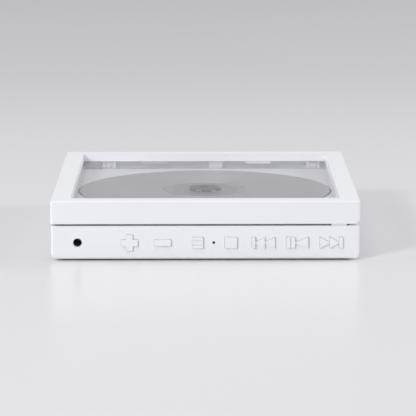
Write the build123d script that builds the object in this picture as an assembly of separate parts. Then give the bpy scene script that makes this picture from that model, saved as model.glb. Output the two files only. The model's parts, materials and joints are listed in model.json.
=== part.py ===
from build123d import *
import math
import os

# Slim disc player that hangs on a wall or lies flat. Millimetres, +Z up.
# X runs along the button edge, Y runs from the button edge (-Y) to the hinge edge (+Y).
# The origin is under the spindle, on the plane that the feet stand on.

# ---------------------------------------------------------------- driving dimensions
LID_W = 140.0          # X
LID_D = 154.0          # Y
LID_H = 10.4
LID_GAP = 1.0          # shadow gap between lid and base
BASE_H = 15.2
FOOT_H = 0.7           # how far the feet stand out of the base
BASE_INSET = 0.2       # the base is this much smaller than the lid on each side

BASE_WALL = 2.2
FLOOR_T = 2.0
BASE_SIDE_R = 3.0      # rounds the lower edges at the left and right
BASE_FRONT_R = 1.2     # rounds the lower edges at the front and rear
CORNER_R = 1.2

LID_WALL = 3.0
LID_BORDER = 8.75      # white border round the window
LID_BORDER_T = 3.6     # depth of the window below the lid's top face
LID_TOP_R = 0.5
LID_REAR_R = 1.2       # rounds the lid's lower rear edge, which swings over the base rim
PANE_T = 1.8
PANE_MARGIN = 1.1      # how far the pane reaches under the border, which it is bonded to
CORNER_CUT_W = 2.0     # nail grip at the lid's lower right edge
CORNER_CUT_H = 1.4
CORNER_CUT_L = 18.0

DISC_R = 60.0
DISC_BORE_R = 7.5
DISC_T = 1.2
DISC_STACK_R, DISC_STACK_W, DISC_STACK_H = 17.0, 0.8, 0.2   # stacking ring on the disc's underside
DISC_CHAMFER = 0.12
DISC_UNDER_LID = 7.1   # disc top below the lid's top face

DECK_T = 2.0
DECK_FIT = 0.15        # deck flange to the base walls
DISC_PROUD = 0.2       # disc top above the deck
DECK_LID_CLEAR = 0.8   # raised deck to the lid's walls
DECK_TROUGH = 5.6      # raised deck's rear edge to the hinge pivot, so that the lid's wall clears it
WELL_CLEAR = 1.0
WELL_FLOOR_T = 1.6
WELL_BELOW_DISC = 1.0
WELL_WALL = 2.0
SCOOP_R = 11.0
SCOOP_SET = 3.0        # scoop centre inside the well's edge
SCOOP_WALL = 1.4
SCOOP_ANGLES = (-42.0, -138.0)
LIFT_CLEAR = 1.0       # turntable to the deck's centre hole

HINGE_X = (-48.4, 55.4)
HINGE_INSET = 3.4      # pivot in front of the lid's rear face
HINGE_ABOVE_LID = 4.4  # pivot above the lid's lower edge
KNUCKLE_R = 2.2
KNUCKLE_W = 3.4
LUG_T = 1.45
LUG_GAP = 0.2
PIN_R = 0.8
RUN_CLEAR = 0.05
PRESS_CLEAR = 0.01
ROOT = 0.5             # how far a post or rib runs into the wall it grows from
BRACKET_WEB_T = 2.2
BRACKET_FOOT_T = 2.0
BRACKET_FOOT_W = 14.0
BRACKET_FOOT_L = 11.4

BUTTON_PROUD = 0.8
BUTTON_TRAVEL = 0.5
BUTTON_CLEAR = 0.10
BUTTON_FLANGE_T = 0.8
BUTTON_FLANGE_EDGE = 0.6
STEM_R = 1.2
ICON_H = 5.0
JACK_X = -57.8
JACK_R = 2.0           # bore for a 3.5 mm plug, through the wall and into the socket
JACK_BORE_L = 13.7     # from the button face
JACK_BODY = (6.0, 12.0, 6.0)
JACK_SHELF_L = 9.0
LIGHT_X = 3.85
LIGHT_R = 0.62

KEYHOLE_X = 42.0       # two keyholes, at plus and minus this
KEYHOLE_INSET = 28.8   # keyhole to the button face
KEYHOLE_R = 4.0
KEYHOLE_SLOT_W = 3.8
KEYHOLE_SLOT_L = 8.0
KEY_POCKET_H = 3.6
KEY_POCKET_WALL = 1.2

POST_INSET_X, POST_INSET_Y = 9.6, 24.6   # case screw posts to the base's inner walls
POST_R = 3.0
CASE_SCREW_R = 1.0
CASE_HEAD_R, CASE_HEAD_T = 2.0, 1.4
CASE_HEAD_DEPTH = 7.0
CASE_SCREW_BITE = 4.0  # into the deck
SMALL_SCREW_R, SMALL_HEAD_R = 0.8, 1.6   # screws of the hinges, the board and the motors
HINGE_SCREW_BITE = 3.0
HOLE_CLEAR = 0.05
PASS_CLEAR = 0.15      # a screw to the hole that it passes through
TIP_CLEAR = 0.4        # a screw's tip to the end of its hole
SCREW_RECESS = 0.45    # driver recess, as a share of the head's radius
FOOT_INSET, FOOT_R = 9.8, 5.0
FOOT_SINK = 0.5

CHASSIS = (-24.0, 66.0, -36.0, 27.0)   # X0, X1, Y0, Y1
CHASSIS_T = 1.6
CHASSIS_UNDERSIDE = 8.2
RAIL_Y = 14.5
MAIN_RAIL_R, AUX_RAIL_R = 1.5, 1.0
RAIL_Z = 11.5
RAIL_ENDS = (10.4, 66.0)
RAIL_POST_L = 2.6
RAIL_STOP = 0.6        # closed outer end of each post
SLIDE_CLEAR = 0.03
DAMPERS = [(-20.0, -31.0), (-20.0, 22.0), (60.5, -31.0), (60.5, 22.0)]
DAMPER_R, DAMPER_NECK_R, DAMPER_LIP = 4.2, 2.9, 1.4

LENS_START = 23.5      # lens to spindle, innermost
LENS_END = 58.0
SLED_BACK, SLED_FRONT = 9.0, 5.0       # sled behind and in front of the lens, along X
LENS_R = 2.2
FOCUS_TRAVEL = 0.5

RACK_MODULE = 0.5
RACK_GEAR_TEETH = 12
RACK_ADDENDUM = 0.35
GEAR_X = 29.5
RACK_PITCH_Y = -22.0
WHEEL_MODULE = 0.4
WHEEL_TEETH = 40
WHEEL_ADDENDUM = 0.25
MOTOR_TEETH = 10
MOTOR_ANGLE = 198.0    # direction from the gear to the motor pinion: a whole number of wheel teeth
BACKLASH = 0.10
PRESSURE = math.radians(20.0)

# ---------------------------------------------------------------- levels and faces
BASE_W = LID_W - 2 * BASE_INSET
BASE_D = LID_D - 2 * BASE_INSET
Z_BASE = FOOT_H
Z_FLOOR = Z_BASE + FLOOR_T
Z_RIM = Z_BASE + BASE_H
Z_LID = Z_RIM + LID_GAP
Z_TOP = Z_LID + LID_H
Z_PANE_TOP = Z_TOP - LID_BORDER_T
Z_PANE = Z_PANE_TOP - PANE_T
Z_DISC_TOP = Z_TOP - DISC_UNDER_LID
Z_DISC = Z_DISC_TOP - DISC_T
Z_DECK = Z_DISC_TOP - DISC_PROUD
Z_FLANGE = Z_RIM - DECK_T
Z_WELL = Z_DISC - WELL_BELOW_DISC
WELL_R = DISC_R + WELL_CLEAR
IN_X = BASE_W / 2 - BASE_WALL          # half the inside of the base
IN_Y = BASE_D / 2 - BASE_WALL
BUTTON_Z = Z_BASE + BASE_H / 2
POST_X, POST_Y = IN_X - POST_INSET_X, IN_Y - POST_INSET_Y
FOOT_X, FOOT_Y = BASE_W / 2 - FOOT_INSET, BASE_D / 2 - FOOT_INSET
DECK_X = LID_W / 2 - LID_WALL - DECK_LID_CLEAR
DECK_FRONT = -(LID_D / 2 - LID_WALL - DECK_LID_CLEAR)
PIVOT_Y = LID_D / 2 - HINGE_INSET
PIVOT_Z = Z_LID + HINGE_ABOVE_LID
Y_FRONT = -BASE_D / 2
Y_FRONT_IN = -IN_Y
KEYHOLE_Y = Y_FRONT + KEYHOLE_INSET
DECK_REAR_EDGE = PIVOT_Y - DECK_TROUGH
CHASSIS_TOP = CHASSIS_UNDERSIDE + CHASSIS_T

WINDOW_X = LID_W / 2 - LID_BORDER
WINDOW_Y = LID_D / 2 - LID_BORDER
PANE_X = WINDOW_X + PANE_MARGIN
PANE_Y = WINDOW_Y + PANE_MARGIN


# ---------------------------------------------------------------- shape helpers
def block(x0, x1, y0, y1, z0, z1):
    return Pos((x0 + x1) / 2, (y0 + y1) / 2, (z0 + z1) / 2) * Box(x1 - x0, y1 - y0, z1 - z0)


def rod_z(x, y, z0, z1, r):
    return Pos(x, y, (z0 + z1) / 2) * Cylinder(r, z1 - z0)


def rod_x(x0, x1, y, z, r):
    return Pos((x0 + x1) / 2, y, z) * Rot(0, 90, 0) * Cylinder(r, x1 - x0)


def rod_y(x, y0, y1, z, r):
    return Pos(x, (y0 + y1) / 2, z) * Rot(90, 0, 0) * Cylinder(r, y1 - y0)


def plate(w, d, z0, z1, r):
    return Pos(0, 0, z0) * extrude(RectangleRounded(w, d, r), z1 - z0)


def screw(x, y, z_seat, z_tip, shank_r, head_r, head_t):
    """A screw whose head lies on z_seat, on the side away from its tip."""
    out = 1 if z_tip < z_seat else -1
    z_face = z_seat + out * head_t
    z_recess = z_seat + out * head_t / 2
    head = rod_z(x, y, min(z_seat, z_face), max(z_seat, z_face), head_r)
    head -= rod_z(x, y, min(z_recess, z_face), max(z_recess, z_face), head_r * SCREW_RECESS)
    return head + rod_z(x, y, min(z_seat, z_tip), max(z_seat, z_tip), shank_r)


def polar(r, degrees):
    a = math.radians(degrees)
    return r * math.cos(a), r * math.sin(a)


def group(solids):
    return Compound(children=[s for part in solids for s in part.solids()])


# ---------------------------------------------------------------- icon outlines of the buttons
# Each outline lies in a plane seen from the button edge: x to the right, y up.
def bar(x0, x1, h=ICON_H):
    return Pos((x0 + x1) / 2, 0) * Rectangle(x1 - x0, h)


def arrow(x_tip, x_base, h=ICON_H):
    return make_face(Polyline((x_tip, 0), (x_base, h / 2), (x_base, -h / 2), close=True))


PLUS_W, PLUS_H, PLUS_ARM = 7.6, 7.4, 3.0
STOP_W, MODE_W = 5.6, 5.0
SKIP_W, PLAY_W = 10.4, 10.0
BAR_W, ARROW_W = 1.6, 4.6
TIP_LAP = 0.35         # how far an arrow's tip runs into its neighbour
LINE_W = 0.4           # lines cut into the caps


def icon_plus():
    return Rectangle(PLUS_W, PLUS_ARM) + Rectangle(PLUS_ARM, PLUS_H)


def icon_minus():
    return Rectangle(PLUS_W, PLUS_ARM)


def icon_previous():
    left = -SKIP_W / 2
    first = left + BAR_W
    second = first + ARROW_W - TIP_LAP
    return bar(left, first) + arrow(first - TIP_LAP, second) + arrow(second - TIP_LAP, -left)


def icon_play_pause():
    left = -PLAY_W / 2
    pause_end = left + 2 * BAR_W + 0.9
    return bar(left, pause_end) + arrow(pause_end - TIP_LAP, -left)


def icon_next():
    return mirror(icon_previous(), Plane.YZ)


BUTTONS = {
    "button_volume_up": (-34.3, icon_plus),
    "button_volume_down": (-19.3, icon_minus),
    "button_mode": (-3.4, lambda: Rectangle(MODE_W, ICON_H)),
    "button_stop": (11.6, lambda: Rectangle(STOP_W, ICON_H)),
    "button_previous": (26.3, icon_previous),
    "button_play_pause": (41.6, icon_play_pause),
    "button_next": (57.0, icon_next),
}


def front_prism(outline, x, y0, y1):
    """An outline on the button face, extruded from y0 to y1 at the buttons' height."""
    at = Plane(origin=(x, y0, BUTTON_Z), x_dir=(1, 0, 0), z_dir=(0, -1, 0))
    return extrude(at * outline, -(y1 - y0))


# ---------------------------------------------------------------- base
SWITCH = 4.5
SWITCH_DEPTH = 2.6
FLANGE_Y = Y_FRONT_IN + RUN_CLEAR
FLANGE_BACK = FLANGE_Y + BUTTON_FLANGE_T
SWITCH_FRONT = FLANGE_BACK + BUTTON_TRAVEL + 0.25
SWITCH_WELL = 1.2
STEM_TIP = SWITCH_FRONT + SWITCH_WELL - BUTTON_TRAVEL - 0.1
BOARD_Y = SWITCH_FRONT + SWITCH_DEPTH   # front face of the upright button board
BOARD_T = 1.2
BOARD_X = (JACK_X + 11.8, IN_X - 3.1)
BOARD_Z = (3.4, 13.2)
GUIDE_X = (BOARD_X[0] + 3.0, 7.6, BOARD_X[1] - 2.0)
MAIN_BOARD_SIZE = (90.0, 37.4)
MAIN_BOARD_Y1 = IN_Y - 1.2
MAIN_BOARD = (-MAIN_BOARD_SIZE[0] / 2, MAIN_BOARD_SIZE[0] / 2, MAIN_BOARD_Y1 - MAIN_BOARD_SIZE[1], MAIN_BOARD_Y1)
MAIN_BOARD_Z = 5.0
STANDOFF_INSET = (5.0, 4.2)
STANDOFFS = [
    (x, y)
    for x in (MAIN_BOARD[0] + STANDOFF_INSET[0], MAIN_BOARD[1] - STANDOFF_INSET[0])
    for y in (MAIN_BOARD[2] + STANDOFF_INSET[1], MAIN_BOARD[3] - STANDOFF_INSET[1])
]
USB_X = 25.0
USB = (8.94, 7.6, 3.2)  # X, Y, Z of the socket's shell
USB_INTO_WALL = 1.2
BATTERY_SIZE = (32.0, 62.0)
BATTERY_X0 = -IN_X + 2.4
BATTERY = (BATTERY_X0, BATTERY_X0 + BATTERY_SIZE[0], 1.0 - BATTERY_SIZE[1] / 2, 1.0 + BATTERY_SIZE[1] / 2)
BATTERY_H = 5.6
REST_RIB_W, REST_RIB_D = 2.0, 1.2
REST_RIB_X, REST_RIB_Y = (-20.0, 40.0), (-45.0, 45.0)
BATTERY_FENCE_T, BATTERY_FENCE_H, BATTERY_GAP = 1.0, 3.0, 0.2
STANDOFF_R = 2.4


def usb_outline(grow):
    w, h = USB[0] + 2 * grow, USB[2] + 2 * grow
    return RectangleRounded(w, h, h / 2 - 0.01)


def usb_prism(y0, y1, grow):
    z = MAIN_BOARD_Z + BOARD_T + USB[2] / 2
    at = Plane(origin=(USB_X, y0, z), x_dir=(1, 0, 0), z_dir=(0, -1, 0))
    return extrude(at * usb_outline(grow), -(y1 - y0))


def key_pocket(x, grow, z_top):
    """The room for a wall screw's head behind a keyhole, grown on its sides by grow."""
    side = KEYHOLE_R + 1.0 + grow
    y0 = KEYHOLE_Y - KEYHOLE_SLOT_L - side
    return block(x - side, x + side, y0, KEYHOLE_Y + side, Z_FLOOR, z_top)


def keyhole(x):
    slot_end = KEYHOLE_Y - KEYHOLE_SLOT_L
    half = KEYHOLE_SLOT_W / 2
    hole = rod_z(x, KEYHOLE_Y, 0, Z_FLOOR, KEYHOLE_R)
    slot = block(x - half, x + half, slot_end, KEYHOLE_Y, 0, Z_FLOOR)
    return hole + slot + rod_z(x, slot_end, 0, Z_FLOOR, half)


def rest_ribs():
    """Ribs up the inside of the walls, which the deck's flange lies on."""
    ribs = []
    for y in REST_RIB_Y:
        for side in (-1, 1):
            x_in, x_out = side * (IN_X - REST_RIB_D), side * (IN_X + ROOT)
            x0, x1 = min(x_in, x_out), max(x_in, x_out)
            ribs.append(block(x0, x1, y - REST_RIB_W / 2, y + REST_RIB_W / 2, Z_FLOOR - ROOT, Z_FLANGE))
    for x in REST_RIB_X:
        half = REST_RIB_W / 2
        ribs.append(block(x - half, x + half, IN_Y - REST_RIB_D, IN_Y + ROOT, Z_FLOOR - ROOT, Z_FLANGE))
    return ribs


def board_guide(x):
    """A slotted foot that holds the upright button board by its lower edge."""
    y0, y1 = BOARD_Y - 1.2, BOARD_Y + BOARD_T + 1.2
    foot = block(x - 1.5, x + 1.5, y0, y1, Z_FLOOR - ROOT, BOARD_Z[0] + 1.6)
    return foot - block(x - 2, x + 2, BOARD_Y - RUN_CLEAR, BOARD_Y + BOARD_T + RUN_CLEAR, BOARD_Z[0], Z_RIM)


def base_tub():
    body = Pos(0, 0, Z_BASE) * extrude(RectangleRounded(BASE_W, BASE_D, CORNER_R), BASE_H)
    # the lower edges are rounded along X and along Y, and the two rounds meet in a mitre
    round_y = block(-BASE_W / 2, BASE_W / 2, -BASE_D, BASE_D, Z_BASE, Z_RIM)
    round_y = fillet(round_y.edges().filter_by(Axis.Y).group_by(Axis.Z)[0], BASE_SIDE_R)
    round_x = block(-BASE_W, BASE_W, -BASE_D / 2, BASE_D / 2, Z_BASE, Z_RIM)
    round_x = fillet(round_x.edges().filter_by(Axis.X).group_by(Axis.Z)[0], BASE_FRONT_R)
    body = body & round_y & round_x
    body -= block(-IN_X, IN_X, -IN_Y, IN_Y, Z_FLOOR, Z_RIM)
    for rib in rest_ribs():
        body += rib
    for x in GUIDE_X:
        body += board_guide(x)
    # posts for the case screws, with the screw heads sunk from below
    for x in (-POST_X, POST_X):
        for y in (-POST_Y, POST_Y):
            body += rod_z(x, y, Z_FLOOR - ROOT, Z_FLANGE, POST_R)
            body -= rod_z(x, y, 0, Z_FLANGE, CASE_SCREW_R + HOLE_CLEAR)
            body -= rod_z(x, y, 0, Z_BASE + CASE_HEAD_DEPTH + CASE_HEAD_T, CASE_HEAD_R + HOLE_CLEAR)
    # seats of the feet
    for x in (-FOOT_X, FOOT_X):
        for y in (-FOOT_Y, FOOT_Y):
            body -= rod_z(x, y, 0, Z_BASE + FOOT_SINK, FOOT_R + HOLE_CLEAR)
    # posts of the spring-mounted mechanism and of the main board
    for x, y in DAMPERS:
        body += rod_z(x, y, Z_FLOOR - ROOT, CHASSIS_UNDERSIDE - DAMPER_LIP, DAMPER_R)
        body -= rod_z(x, y, Z_FLOOR + 0.5, Z_RIM, CASE_SCREW_R + HOLE_CLEAR)
    for x, y in STANDOFFS:
        body += rod_z(x, y, Z_FLOOR - ROOT, MAIN_BOARD_Z, STANDOFF_R)
        body -= rod_z(x, y, Z_FLOOR + 0.4, MAIN_BOARD_Z, SMALL_SCREW_R + HOLE_CLEAR)
    # battery fence
    bx0, bx1, by0, by1 = BATTERY
    t, gap, top = BATTERY_FENCE_T, BATTERY_GAP, Z_FLOOR + BATTERY_FENCE_H
    fence = block(bx0 - t, bx1 + t, by0 - t, by1 + t, Z_FLOOR - ROOT, top)
    body += fence - block(bx0 - gap, bx1 + gap, by0 - gap, by1 + gap, Z_FLOOR, top)
    # keyholes with a closed pocket behind each
    for x in (-KEYHOLE_X, KEYHOLE_X):
        top = Z_FLOOR + KEY_POCKET_H
        body += key_pocket(x, KEY_POCKET_WALL, top + KEY_POCKET_WALL)
        body -= key_pocket(x, 0, top)
        body -= keyhole(x)
    # headphone socket: hole in the wall, pedestal under the socket
    jack_x0, jack_x1 = JACK_X - JACK_BODY[0] / 2, JACK_X + JACK_BODY[0] / 2
    shelf_end = Y_FRONT_IN + JACK_SHELF_L
    body += block(jack_x0, jack_x1, Y_FRONT_IN - ROOT, shelf_end, Z_FLOOR - ROOT, BUTTON_Z - JACK_BODY[2] / 2)
    body -= rod_y(JACK_X, Y_FRONT - 1, Y_FRONT_IN, BUTTON_Z, JACK_R)
    # openings of the buttons, the light and the power socket
    for x, icon in BUTTONS.values():
        opening = offset(icon(), amount=BUTTON_CLEAR, kind=Kind.INTERSECTION)
        body -= front_prism(opening, x, Y_FRONT - 1, Y_FRONT_IN + 0.2)
    body -= rod_y(LIGHT_X, Y_FRONT - 1, Y_FRONT_IN + 0.2, BUTTON_Z, LIGHT_R + PRESS_CLEAR)
    body -= usb_prism(IN_Y - 0.2, BASE_D / 2 + 1, 0.12)
    return body


def foot_pads():
    z1 = Z_BASE + FOOT_SINK
    return group(rod_z(x, y, 0, z1, FOOT_R) for x in (-FOOT_X, FOOT_X) for y in (-FOOT_Y, FOOT_Y))


def case_screws():
    z_head = Z_BASE + CASE_HEAD_DEPTH + CASE_HEAD_T
    tip = Z_FLANGE + CASE_SCREW_BITE
    return group(
        screw(x, y, z_head, tip, CASE_SCREW_R, CASE_HEAD_R, CASE_HEAD_T)
        for x in (-POST_X, POST_X)
        for y in (-POST_Y, POST_Y)
    )


# ---------------------------------------------------------------- deck
LENS_SLOT_Y = 6.0
COVER_Y = 10.0
MAGNET_X = 45.0
MAGNET = (10.0, 2.0, 1.8)
MAGNET_Y = DECK_FRONT + 1.4
MAGNET_SKIN = 0.8
HINGE_SCREW_DX, HINGE_SCREW_Y = 4.6, PIVOT_Y - 8.0
HINGE_BOSS_R = 2.2
DECK_CORNER_R, DECK_EDGE_R = 2.0, 0.5
TURNTABLE_R = 13.5


def deck_plate():
    outer_x, outer_y = IN_X - DECK_FIT, IN_Y - DECK_FIT
    body = block(-outer_x, outer_x, -outer_y, outer_y, Z_FLANGE, Z_RIM)
    raised = block(-DECK_X, DECK_X, DECK_FRONT, DECK_REAR_EDGE, Z_FLANGE, Z_DECK)
    raised = fillet(raised.edges().filter_by(Axis.Z), DECK_CORNER_R)
    raised = fillet(raised.faces().sort_by(Axis.Z)[-1].edges(), DECK_EDGE_R)
    body += raised
    hollow = block(
        -DECK_X + DECK_T, DECK_X - DECK_T, DECK_FRONT + DECK_T, DECK_REAR_EDGE - DECK_T, Z_FLANGE, Z_DECK - DECK_T
    )
    hollow -= rod_z(0, 0, Z_FLANGE, Z_DECK, WELL_R + WELL_WALL)
    body -= hollow
    body -= rod_z(0, 0, Z_FLANGE, Z_WELL - WELL_FLOOR_T, WELL_R + 0.4)
    # finger scoops beside the well, to lift the disc by its edge
    inner = block(
        -DECK_X + ROOT, DECK_X - ROOT, DECK_FRONT + ROOT, DECK_REAR_EDGE - ROOT, Z_FLANGE, Z_DECK - DECK_EDGE_R
    )
    places = [polar(WELL_R - SCOOP_SET, angle) for angle in SCOOP_ANGLES]
    for x, y in places:
        body += rod_z(x, y, Z_WELL - WELL_FLOOR_T, Z_DECK, SCOOP_R + SCOOP_WALL) & inner
    for x, y in places:
        body -= rod_z(x, y, Z_WELL, Z_DECK, SCOOP_R)
    body -= rod_z(0, 0, Z_WELL, Z_DECK, WELL_R)
    # the pickup's cover runs under the foot of the well's wall at its outer end
    body -= block(WELL_R - 6, DECK_X - DECK_T, -COVER_Y - 1, COVER_Y + 1, Z_FLANGE, Z_WELL - WELL_FLOOR_T)
    # openings for the turntable and for the lens
    body -= rod_z(0, 0, Z_FLANGE, Z_WELL, TURNTABLE_R + LIFT_CLEAR)
    slot_end = LENS_END + LENS_R + 0.5
    body -= block(0, slot_end, -LENS_SLOT_Y, LENS_SLOT_Y, Z_WELL - WELL_FLOOR_T, Z_WELL)
    # bosses for the case screws and the hinge screws
    roof = Z_DECK - ROOT
    for x in (-POST_X, POST_X):
        for y in (-POST_Y, POST_Y):
            body += rod_z(x, y, Z_FLANGE, roof, POST_R)
            body -= rod_z(x, y, Z_FLANGE, Z_FLANGE + CASE_SCREW_BITE + TIP_CLEAR, CASE_SCREW_R + HOLE_CLEAR)
    for x in HINGE_X:
        for dx in (-HINGE_SCREW_DX, HINGE_SCREW_DX):
            body += rod_z(x + dx, HINGE_SCREW_Y, Z_FLANGE, roof, HINGE_BOSS_R)
            hole_end = Z_FLANGE + HINGE_SCREW_BITE + TIP_CLEAR
            body -= rod_z(x + dx, HINGE_SCREW_Y, Z_FLANGE, hole_end, SMALL_SCREW_R + HOLE_CLEAR)
        half = KNUCKLE_W / 2 + LUG_GAP
        body -= block(x - half, x + half, PIVOT_Y - KNUCKLE_R + 0.4, IN_Y, Z_FLANGE, Z_RIM)
    # blind pockets for the catch magnets, open below
    for x in (-MAGNET_X, MAGNET_X):
        w, d, h = MAGNET
        body += block(x - w / 2 - 1.2, x + w / 2 + 1.2, DECK_FRONT + ROOT, MAGNET_Y + d / 2 + 1.0, Z_DECK - 4.0, roof)
        body -= block(
            x - w / 2, x + w / 2, MAGNET_Y - d / 2, MAGNET_Y + d / 2, Z_DECK - 4.0, Z_DECK - MAGNET_SKIN
        )
    return body


def base_magnets():
    w, d, h = MAGNET
    top = Z_DECK - MAGNET_SKIN
    return group(
        block(x - w / 2, x + w / 2, MAGNET_Y - d / 2, MAGNET_Y + d / 2, top - h, top) for x in (-MAGNET_X, MAGNET_X)
    )


# ---------------------------------------------------------------- hinge
def hinge_bracket(x):
    """A knuckle on a web that rises behind the deck, with a foot screwed under the deck."""
    z_foot = Z_FLANGE - BRACKET_FOOT_T
    web_rear = IN_Y - 0.2
    web_front = web_rear - BRACKET_WEB_T
    half = KNUCKLE_W / 2
    foot_half = BRACKET_FOOT_W / 2
    web = block(x - half, x + half, web_front, web_rear, z_foot, PIVOT_Z)
    knuckle = rod_x(x - half, x + half, PIVOT_Y, PIVOT_Z, KNUCKLE_R)
    foot = block(x - foot_half, x + foot_half, web_rear - BRACKET_FOOT_L, web_rear, z_foot, Z_FLANGE)
    foot = fillet(foot.edges().filter_by(Axis.Z), 1.0)
    bracket = foot + web + knuckle
    bracket -= rod_x(x - half - 1, x + half + 1, PIVOT_Y, PIVOT_Z, PIN_R + RUN_CLEAR)
    for dx in (-HINGE_SCREW_DX, HINGE_SCREW_DX):
        bracket -= rod_z(x + dx, HINGE_SCREW_Y, z_foot, Z_FLANGE, SMALL_SCREW_R + PASS_CLEAR)
    return bracket


def hinge_screws():
    z_head = Z_FLANGE - BRACKET_FOOT_T
    return group(
        screw(x + dx, HINGE_SCREW_Y, z_head, Z_FLANGE + HINGE_SCREW_BITE, SMALL_SCREW_R, SMALL_HEAD_R, 1.0)
        for x in HINGE_X
        for dx in (-HINGE_SCREW_DX, HINGE_SCREW_DX)
    )


def hinge_pins():
    half = KNUCKLE_W / 2 + LUG_GAP + LUG_T
    return group(rod_x(x - half, x + half, PIVOT_Y, PIVOT_Z, PIN_R) for x in HINGE_X)


# ---------------------------------------------------------------- lid
LID_IN_Y = LID_D / 2 - LID_WALL
LID_IN_X = LID_W / 2 - LID_WALL
SENSOR_X, SENSOR_W = 5.8, 6.7
SENSOR_MAGNET_R, SENSOR_MAGNET_H = 1.2, 2.0
SENSOR_Y = PIVOT_Y - 1.4
CLIP_X, CLIP_W = (-25.2, 27.4), 12.6
CLIP_H = 1.4
LUG_REACH = 0.2        # lugs in front of the knuckle, and the notch above it
MAGNET_COVER = 0.7     # lid above the catch magnets
SENSOR_HOLDER = (3.0, 0.3)   # reach from the rear wall, and height above the lid's lower edge
BUMPER_X = (LID_W / 2 - 13.0, LID_W / 2 - 6.0)


def lid_frame():
    body = plate(LID_W, LID_D, Z_LID, Z_TOP, CORNER_R)
    body = fillet(body.faces().sort_by(Axis.Z)[-1].edges(), LID_TOP_R)
    body -= block(-LID_IN_X, LID_IN_X, -LID_IN_Y, LID_IN_Y, Z_LID, Z_PANE_TOP)
    body -= block(-WINDOW_X, WINDOW_X, -WINDOW_Y, WINDOW_Y, Z_PANE_TOP, Z_TOP)
    # the lower rear edge is rounded, to swing over the base's rim
    corner = block(-LID_W, LID_W, LID_D / 2 - LID_REAR_R, LID_D, Z_LID - 1, Z_LID + LID_REAR_R)
    corner -= rod_x(-LID_W, LID_W, LID_D / 2 - LID_REAR_R, Z_LID + LID_REAR_R, LID_REAR_R)
    body -= corner
    # hinge lugs on the inside of the rear wall, with a notch for each knuckle between them
    for x in HINGE_X:
        half = KNUCKLE_W / 2 + LUG_GAP
        lug_half = half + LUG_T
        lug_y = PIVOT_Y - KNUCKLE_R - LUG_REACH
        body += block(x - lug_half, x + lug_half, lug_y, LID_IN_Y + ROOT, PIVOT_Z - KNUCKLE_R, Z_PANE_TOP + ROOT)
        body -= block(x - half, x + half, lug_y - 1, LID_D / 2 + 1, Z_LID - 1, PIVOT_Z + KNUCKLE_R + LUG_REACH)
        body -= rod_x(x - lug_half - 1, x + lug_half + 1, PIVOT_Y, PIVOT_Z, PIN_R + PRESS_CLEAR)
    # holder of the sensor's magnet
    reach, lift = SENSOR_HOLDER
    x0, x1 = SENSOR_X - SENSOR_W / 2, SENSOR_X + SENSOR_W / 2
    body += block(x0, x1, LID_IN_Y - reach, LID_IN_Y + ROOT, Z_LID + lift, Z_PANE_TOP + ROOT)
    body -= rod_z(SENSOR_X, SENSOR_Y, Z_LID, Z_LID + lift + SENSOR_MAGNET_H, SENSOR_MAGNET_R + PRESS_CLEAR)
    # holders of the catch magnets
    w, d, h = MAGNET
    for x in (-MAGNET_X, MAGNET_X):
        z0 = Z_PANE_TOP - h - MAGNET_COVER
        body += block(
            x - w / 2 - 1.0, x + w / 2 + 1.0, -LID_IN_Y - ROOT, MAGNET_Y + d / 2 + 0.5, z0, Z_PANE_TOP + ROOT
        )
        body -= block(x - w / 2, x + w / 2, MAGNET_Y - d / 2, MAGNET_Y + d / 2, z0, z0 + h)
    # nail grip along the lower right edge, at the front corner
    y0 = -LID_D / 2 - 1
    x1 = LID_W / 2
    grip = make_face(
        Plane.XZ * Polyline((x1 - CORNER_CUT_W, Z_LID), (x1, Z_LID + CORNER_CUT_H), (x1 + 1, Z_LID - 1), close=True)
    )
    body -= Pos(0, y0, 0) * extrude(grip, CORNER_CUT_L + 1, dir=(0, 1, 0))
    return body


def lid_window():
    return block(-PANE_X, PANE_X, -PANE_Y, PANE_Y, Z_PANE, Z_PANE_TOP)


def window_clip(x):
    """A wedge pressed between the pane's rear edge and the lid's rear wall."""
    return block(x - CLIP_W / 2, x + CLIP_W / 2, PANE_Y, LID_IN_Y, Z_PANE_TOP - CLIP_H, Z_PANE_TOP)


def lid_magnets():
    w, d, h = MAGNET
    z0 = Z_PANE_TOP - h - MAGNET_COVER
    bars = [
        block(x - w / 2, x + w / 2, MAGNET_Y - d / 2, MAGNET_Y + d / 2, z0, z0 + h) for x in (-MAGNET_X, MAGNET_X)
    ]
    z1 = Z_LID + SENSOR_HOLDER[1]
    return group(bars + [rod_z(SENSOR_X, SENSOR_Y, z1, z1 + SENSOR_MAGNET_H, SENSOR_MAGNET_R)])


def lid_bumper():
    y0 = -LID_D / 2 + 0.5
    return block(BUMPER_X[0], BUMPER_X[1], y0, y0 + 1.8, Z_RIM + RUN_CLEAR, Z_LID)


# ---------------------------------------------------------------- buttons and their board
def button(name):
    x, icon = BUTTONS[name]
    outline = icon()
    box = outline.bounding_box()
    face = Y_FRONT - BUTTON_PROUD
    cap = front_prism(outline, x, face, FLANGE_BACK - 0.1)
    grow = 2 * (BUTTON_CLEAR + BUTTON_FLANGE_EDGE)
    flange = front_prism(Rectangle(box.size.X + grow, box.size.Y + grow), x, FLANGE_Y, FLANGE_BACK)
    stem = rod_y(x, FLANGE_BACK - 0.1, STEM_TIP, BUTTON_Z, STEM_R)
    body = cap + flange + stem
    if name == "button_mode":
        # two shallow lines across the square
        for dz in (-1.0, 1.0):
            body -= block(x - 1.9, x + 1.9, face, face + 0.3, BUTTON_Z + dz - LINE_W / 2, BUTTON_Z + dz + LINE_W / 2)
    if name == "button_play_pause":
        # the line that parts the two pause bars
        x_gap = x - PLAY_W / 2 + BAR_W + 0.45
        body -= block(x_gap - LINE_W / 2, x_gap + LINE_W / 2, face, face + 0.6, BUTTON_Z - ICON_H, BUTTON_Z + ICON_H)
    return body


def button_board():
    return block(BOARD_X[0], BOARD_X[1], BOARD_Y, BOARD_Y + BOARD_T, BOARD_Z[0], BOARD_Z[1])


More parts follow.
